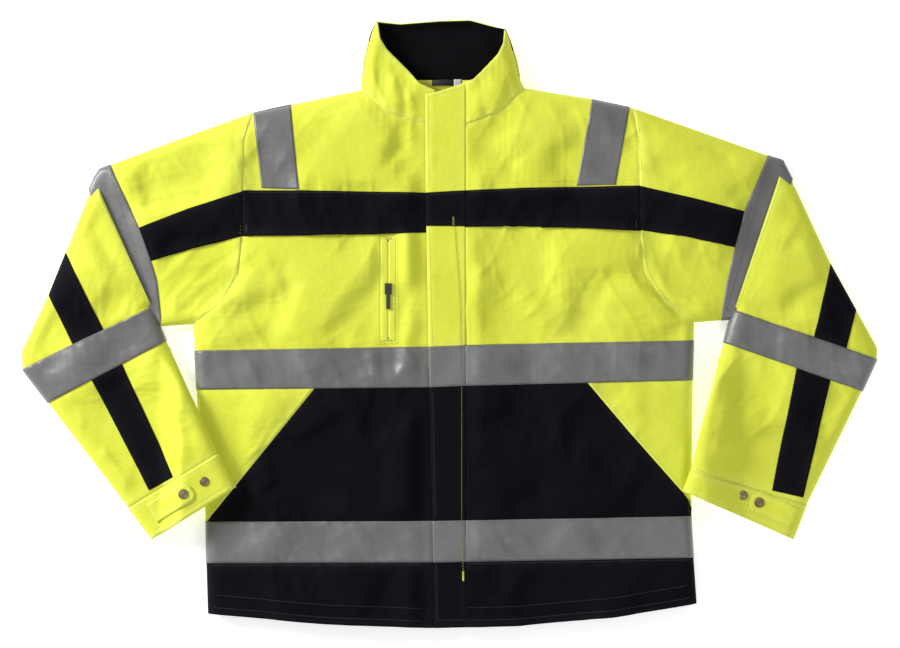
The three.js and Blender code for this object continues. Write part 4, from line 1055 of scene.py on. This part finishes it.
def build_braces():
    """A tape from the chest band over each shoulder, and on down the back to the waist tape."""
    how = {"level": 0.6, "thick": TAPE_WALL}
    for half in HALVES:
        name = half.name
        plan = patch(half.brace_top, half.brace_low, first=True)
        lay(f"brace_{name}_front", plan, BODY, silver, "torso", f"brace_{name}_tape", **how)
        plan = patch(half.brace_top, half.brace_back, step=7, first=True)
        lay(f"brace_{name}_back", plan, BODY, silver, "torso", face=-1, **how)


def build_sleeve(half):
    """Upper sleeve with its bands on the torso; lower sleeve with its bands and cuff on its own body."""
    name, shoulder = half.name, half.shoulder
    outer = shoulder[shoulder.index(half.armhole[0]) :]
    inner = half.underarm[::-1]
    piece, node = f"upper_sleeve_{name}", f"sleeve_{name}_upper"
    lay_ring(piece, outer, inner, BODY, yellow, "torso", node, half.armhole, lining=yellow)

    outer = shoulder[shoulder.index(half.biceps[0]) :]
    piece, node = f"biceps_tape_{name}_ring", f"biceps_{name}_tape"
    how = {"top": half.biceps, "bottom": half.biceps_low, "level": 0.9, "thick": TAPE_WALL}
    lay_ring(piece, outer, inner[1:4], BODY, silver, "torso", node, **how)

    plan = patch(half.band_top, half.band_low)
    x = plan[..., 0]
    drop = np.linspace(0, 1, plan.shape[0])[:, None]
    ends = smooth((np.abs(x) - 262) / 20) * smooth((372 - np.abs(x)) / 16)
    how = {"level": 0.7 + ends * drop**2 * 1.1, "thick": 0.6}
    lay(f"sleeve_band_{name}", plan, BODY, navy, "torso", f"sleeve_{name}_band", **how)

    outer, inner, body = half.sleeve_out, half.sleeve_in, f"sleeve_{name}"
    how = {"lining": yellow}
    lay_ring(f"forearm_{name}", outer[:-1], inner[:-1], half.arm, yellow, body, f"{body}_lower", **how)
    piece, node = f"elbow_tape_{name}_ring", f"elbow_{name}_tape"
    how = {"level": 1.35, "thick": TAPE_WALL}
    lay_ring(piece, outer[-4:-2], inner[:3], half.arm, silver, body, node, **how)
    for part, lines in half.stripes.items():
        nodes = [f"{body}_stripe"] if part == "lower" else []
        how = {"level": 0.85, "thick": 0.5}
        lay(f"stripe_{name}_{part}", patch(*lines), half.arm, navy, body, *nodes, **how)
    how = {"level": 0.7, "lining": yellow, "thick": 1.9}
    lay_ring(f"cuff_band_{name}", outer[-2:], inner[-2:], half.arm, yellow, body, f"cuff_{name}", **how)


# A snap's outline as shares of its radius and heights: a dome, a ring and a rolled rim.
SNAP_PROFILE = [
    *[(0, 1.5), (0.42, 1.42), (0.56, 1.0), (0.66, 1.0)],
    *[(0.78, 1.5), (0.93, 1.35), (1.0, 0.7), (0.96, 0.0)],
]


def stud(name, place, surface, level, radius, body):
    """A snap: a profile turned about its upright axis."""
    profile = np.array(SNAP_PROFILE)
    turn = np.linspace(0, 2 * math.pi, 33)[:-1]
    z = float(surface.height(np.array([place[0]]), np.array([place[1]]), np.array([1]))[0]) + level
    ring = profile[1:, None, :]
    px = place[0] + ring[..., 0] * radius * np.cos(turn)
    py = place[1] + ring[..., 0] * radius * np.sin(turn)
    pz = z + ring[..., 1] + 0 * turn
    tip = [[place[0], place[1], z + profile[0, 1]]]
    points = np.concatenate([tip, np.stack([px, py, pz], -1).reshape(-1, 3)])
    n, rows = pz.shape[1], pz.shape[0]
    around = np.arange(n)
    cap = np.stack([0 * around, 1 + around, 1 + (around + 1) % n], -1).tolist()
    walls = (1 + grid_faces(rows, n, ring=True)[:, [0, 3, 2, 1]]).tolist()
    under = [(1 + (rows - 1) * n + around[::-1]).tolist()]
    return finish_piece(make_mesh(name, points, cap + walls + under, brass), body, brass)


STITCH_PITCH = 3.6
THREAD_RADIUS = 0.42


def stitch_line(points, surface, level):
    """Stitches along a plan line: each a short rod between two needle holes."""
    count = max(2, int(length_of(points) / STITCH_PITCH))
    ends = (np.arange(count)[:, None] + np.array([0.14, 0.86])) / count
    p = follow(points, ends.ravel())
    z = surface.height(p[:, 0], p[:, 1], np.ones(len(p))) + level
    return np.concatenate([p, z[:, None]], 1).reshape(count, 2, 3)


def stitches(name, lines, paint, where, radius=THREAD_RADIUS):
    """All the stitches of one group in one mesh: six-sided rods with round middles and sunk ends."""
    spans = np.concatenate(lines)
    a, b = spans[:, 0], spans[:, 1]
    along = b - a
    along /= np.linalg.norm(along, axis=1, keepdims=True)
    side = np.cross(along, np.array([0, 0, 1.0]))
    up = np.cross(side, along)
    turn = np.linspace(0, 2 * math.pi, 7)[:-1]
    shares = np.array([0.0, 0.3, 0.7, 1.0])
    sizes = np.array([0.55, 1.0, 1.0, 0.55]) * radius
    sink = np.array([-0.45, 0.0, 0.0, -0.45]) * radius * 1.6
    centre = a[:, None] + (b - a)[:, None] * shares[None, :, None] + up[:, None] * sink[None, :, None]
    wheel = side[:, None] * np.cos(turn)[None, :, None] + up[:, None] * np.sin(turn)[None, :, None]
    points = centre[:, :, None] + wheel[:, None] * sizes[None, :, None, None]
    corners = len(shares) * len(turn)
    base = np.arange(len(spans)) * corners
    rod = grid_faces(len(shares), len(turn), ring=True)[:, [0, 3, 2, 1]]
    faces = (rod[None] + base[:, None, None]).reshape(-1, 4).tolist()
    rim = np.arange(len(turn))
    faces += (base[:, None] + rim[None]).tolist()
    faces += (base[:, None] + corners - len(turn) + rim[None, ::-1]).tolist()
    made = make_mesh(name, points.reshape(-1, 3), faces, paint)
    return finish_piece(made, where, paint)


def beside(points, gap):
    """A line parallel to another in plan, to its left by the gap."""
    p = follow(points, max(3, int(length_of(points) / 12)))
    t = np.gradient(p, axis=0)
    t /= np.linalg.norm(t, axis=1, keepdims=True)
    return p + gap * np.stack([-t[:, 1], t[:, 0]], 1)


def run(points, surface, gap=0.0, level=0.2, trim=0.0):
    """A row of stitches beside a line, with both ends trimmed by a length."""
    p = beside(points, gap)
    share = trim / max(length_of(p), 1e-6)
    return stitch_line(follow(p, np.linspace(share, 1 - share, len(p))), surface, level)


def bartack(place, lean, length, surface, level):
    """Close parallel stitches across a short line, as where a seam must not open."""
    steps = np.arange(-length / 2, length / 2, 0.85)
    along = np.array([math.cos(lean), math.sin(lean)])
    across = np.array([-along[1], along[0]])
    middle = np.asarray(place, float) + steps[:, None] * along
    ends = middle[:, None] + np.array([-1.3, 1.3])[None, :, None] * across
    z = surface.height(ends[..., 0], ends[..., 1], np.ones(ends.shape[:2])) + level
    return np.concatenate([ends, z[..., None]], -1)


def build_tab(half):
    """A snap tab along the cuff, sewn down at its outer end, and the two snaps."""
    name, arm, sewn_down = half.name, half.arm, half.sewn_down
    sleeve, tab = f"sleeve_{name}", f"cuff_{name}_tab"
    root, end = np.array(half.tab, float)
    along = (end - root) / np.linalg.norm(end - root)
    up = np.array([-along[1], along[0]])
    share = np.linspace(0, 1, 25)
    width = 13.5 * np.sqrt(np.clip(1 - (np.clip(share - 0.86, 0, 1) / 0.145) ** 2, 0.12, 1))
    middle = root + share[:, None] * (end - root)
    plan = middle[None] + np.linspace(-1, 1, 11)[:, None, None] * width[None, :, None] * up
    made = cloth(f"tab_{name}_cloth", plan, arm, yellow, level=2.7, lining=yellow, thick=1.7)
    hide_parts(tab)
    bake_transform(made)
    stud(f"snap_cap_{name}", end - along * 12.5, arm, 2.5, 6.6, tab)
    stud(f"snap_stud_{name}", half.stud_at, arm, 0.5, 6.2, sleeve)
    a, b = root + along * (sewn_down + 11), end - along * 9
    sewn = [stitch_line([a + edge, b + edge], arm, 2.85) for edge in (10.5 * up, -10.5 * up)]
    stitches(f"tab_{name}_stitches", sewn, yellow_thread, tab, 0.4)


def build_pocket():
    """Two narrow lips beside the chest pocket's zip."""
    for name, x0, x1 in (("outer", -79.5, -70.7), ("inner", -69.3, -60.5)):
        plan = patch([(x0, 111), (x1, 111)], [(x0, -22), (x1, -22)], step=1.6)
        roll = 0.2 + 0.3 * np.sin(np.clip((plan[..., 0] - x0) / (x1 - x0), 0, 1) * math.pi)
        lay(f"pocket_lip_{name}", plan, BODY, yellow, "right", level=roll, thick=0.8)


def build_loop():
    """The hang loop: flat webbing that arches between its two sewn ends."""
    t = np.linspace(0, 1, 25)
    x = -17 + 34 * t
    z = 5.0 + 5.2 * np.sin(math.pi * t) ** 0.7
    y = np.linspace(305.5, 312.5, 6)[:, None] + 1.2 * np.sin(math.pi * t)[None]
    points = np.stack([x + 0 * y, y, z + 0 * y], -1)
    made = make_mesh("loop_webbing", points.reshape(-1, 3), grid_faces(*y.shape).tolist(), black)
    thicken(made, 1.1)
    finish_piece(made, "torso", black, "hang_loop")


def sew_front(half):
    """Topstitching of one front in three threads."""
    name, sign, sides = half.name, half.sign, half.side
    edge, far_x = half.sewn
    bright = [
        run(half.neck[1:4], BODY, sign * 3.0, 0.3),
        run(line_at(BAND_TOP, edge, far_x), BODY, sign * 7.5, 0.15),
        run(half.pocket[1:-1], BODY, sign * 3.2, 0.5, trim=4),
    ]
    if half is RIGHT:
        bright += [run([(x, 114), (x, -25)], BODY, 0, 0.3) for x in (-82, -58)]
        bright += [run([(-82, y), (-58, y)], BODY, 0, 0.3) for y in (114, -25)]
        bright += [bartack((-70, y), 0, 9, BODY, 0.7) for y in (109.5, -20.5)]
    stitches(f"front_{name}_yellow_stitches", bright, yellow_thread, name)
    hem_end = sides[-1][0] - sign * 8
    hem_low = line_at(HEM, edge, hem_end)
    dark = [
        run(line_at(BAND_TOP, edge, far_x), BODY, -sign * 2.4, 1.1),
        run(line_at(HEM_SEAM, edge, hem_end), BODY, -sign * 2.6, 0.45),
        run(hem_low, BODY, sign * 9, 0.45),
        run(hem_low, BODY, sign * 25, 0.45),
        bartack(half.tack, math.pi / 2, 10, BODY, 1.5),
    ]
    stitches(f"front_{name}_navy_stitches", dark, navy_thread, name)
    grey = []
    for (high, low), out in zip(TAPES.values(), (sides[0][0] - sign * 10, sides[4][0] - sign * 8)):
        grey.append(run(line_at(high, edge, out), BODY, -sign * 2.2, 1.0))
        grey.append(run(line_at(low, edge, out), BODY, sign * 2.2, 1.0))
    stitches(f"front_{name}_grey_stitches", grey, grey_thread, name)


def sew_flap():
    """The flap's long slanting seam, its free edge, and the tape edges that cross it."""
    seam = [(13.5, 137), (16, 110), (22, 30), (24, -84), (24, -250), (26, -322)]
    tack = bartack((13.5, 132), math.pi / 2, 11, FLAP, 1.2)
    stitches("flap_seam_stitches", [stitch_line(seam, FLAP, 0.95), tack], olive_thread, "flap", 0.36)
    bright = [[(-19, 288), (-18, 176)], [(-17.5, 118), (-14, -22)], [(-20, 290), (25, 303)]]
    bright = [run(line, FLAP) for line in bright] + [bartack((26, -322), math.pi / 2, 12, FLAP, 0.6)]
    stitches("flap_yellow_stitches", bright, yellow_thread, "flap")
    dark = [[(-13, -88), (-9.5, -246)], [(-8, -308), (-7, -380)], [(-7, -379), (26, -378)]]
    dark = [run([(-17, 165.5), (27, 168)], FLAP, level=1.05)] + [run(line, FLAP) for line in dark]
    stitches("flap_navy_stitches", dark, navy_thread, "flap")
    heights = ((-31.5, -29.5), (-78.5, -76.5), (-254.5, -253.5), (-302.5, -301.5))
    grey = [run([(-16, y0), (27, y1)], FLAP, level=0.75) for y0, y1 in heights]
    stitches("flap_grey_stitches", grey, grey_thread, "flap")


def sew_sleeve(half):
    """Armhole and cuff stitching, and the edges of the tapes."""
    name, sign, arm, body = half.name, half.sign, half.arm, f"sleeve_{half.name}"
    parts = (0.06, 0.27), (0.47, 0.96)
    bright = [run(between(rounded(half.armhole), *part), BODY, sign * 2.5, 0.25) for part in parts]
    stitches(f"armhole_{name}_stitches", bright, yellow_thread, "torso")
    grey = [
        run([half.brace_top[k], half.brace_low[k]], BODY, gap, 0.75, trim=9)
        for k, gap in ((0, 2.2), (1, -2.2))
    ]
    grey.append(run([half.biceps[0], half.biceps[-1]], BODY, sign * 2.4, 1.05, trim=12))
    stitches(f"brace_{name}_stitches", grey, grey_thread, "torso")
    outer, inner = half.sleeve_out, half.sleeve_in
    bright = [run(half.mouth, arm, sign * 3.0, 0.2, trim=6), run(half.cuff, arm, -3.0, 0.85, trim=6)]
    bright += [run([outer[-1], inner[-1]], arm, -sign * gap, 0.85, trim=7) for gap in (3.2, 9.0)]
    stitches(f"sleeve_{name}_yellow_stitches", bright, yellow_thread, body)
    grey = [
        run([outer[k], inner[j]], arm, sign * gap, 1.45, trim=9)
        for k, j, gap in ((-4, 0, 2.3), (-3, 2, -2.3))
    ]
    stitches(f"elbow_{name}_stitches", grey, grey_thread, body)


build_back()
for half in HALVES:
    build_front(half)
    build_sleeve(half)
build_collar()
build_flap()
build_braces()
build_pocket()
build_loop()
for half in HALVES:
    build_tab(half)
for half in HALVES:
    sew_front(half)
    sew_sleeve(half)
sew_flap()

CAD_PAINTS = {
    "zip_right_half": zip_teeth,
    "zip_left_half": zip_teeth,
    "zip_slider": steel,
    "zip_pull": steel,
    "chest_zip": zip_teeth,
    "chest_zip_slider": dark_metal,
}
for node, paint in CAD_PAINTS.items():
    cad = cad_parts[node]
    cad.data.materials.clear()
    cad.data.materials.append(paint)

# ---- the room --------------------------------------------------------------------------
camera = link("camera", bpy.data.cameras.new("camera"))
camera.location = (0.001, 0.001, 5.0)
camera.data.lens = 155.6
camera.data.clip_end = 50
bpy.context.scene.camera = camera
bpy.context.scene.view_settings.view_transform = "Standard"

floor_mesh = bpy.data.meshes.new("floor")
floor_mesh.from_pydata([(-8, -8, 0), (8, -8, 0), (8, 8, 0), (-8, 8, 0)], [], [(0, 1, 2, 3)])
floor_tree = floor_paint.node_tree
dress(
    floor_tree,
    floor_tree.nodes["Principled BSDF"],
    Emission_Color=(1.0, 1.0, 1.0),
    Emission_Strength=0.5,
)
floor_mesh.materials.append(floor_paint)
link("floor", floor_mesh)


def soft_light(name, place, size, watts):
    """A square area light that faces the jacket."""
    lamp = bpy.data.lights.new(name, "AREA")
    lamp.energy, lamp.size = watts, size
    made = link(name, lamp)
    made.location = place
    made.rotation_mode = "QUATERNION"
    made.rotation_quaternion = Vector([-c for c in place]).to_track_quat("-Z", "Y")


soft_light("key", (-2.5, 1.2, 1.3), 1.0, 104)
soft_light("fill", (1.2, -1.4, 1.6), 1.2, 11)
world = bpy.data.worlds.new("studio")
world.use_nodes = True
world.node_tree.nodes["Background"].inputs[0].default_value = (1, 1, 1, 1)
world.node_tree.nodes["Background"].inputs[1].default_value = 0.45
bpy.context.scene.world = world
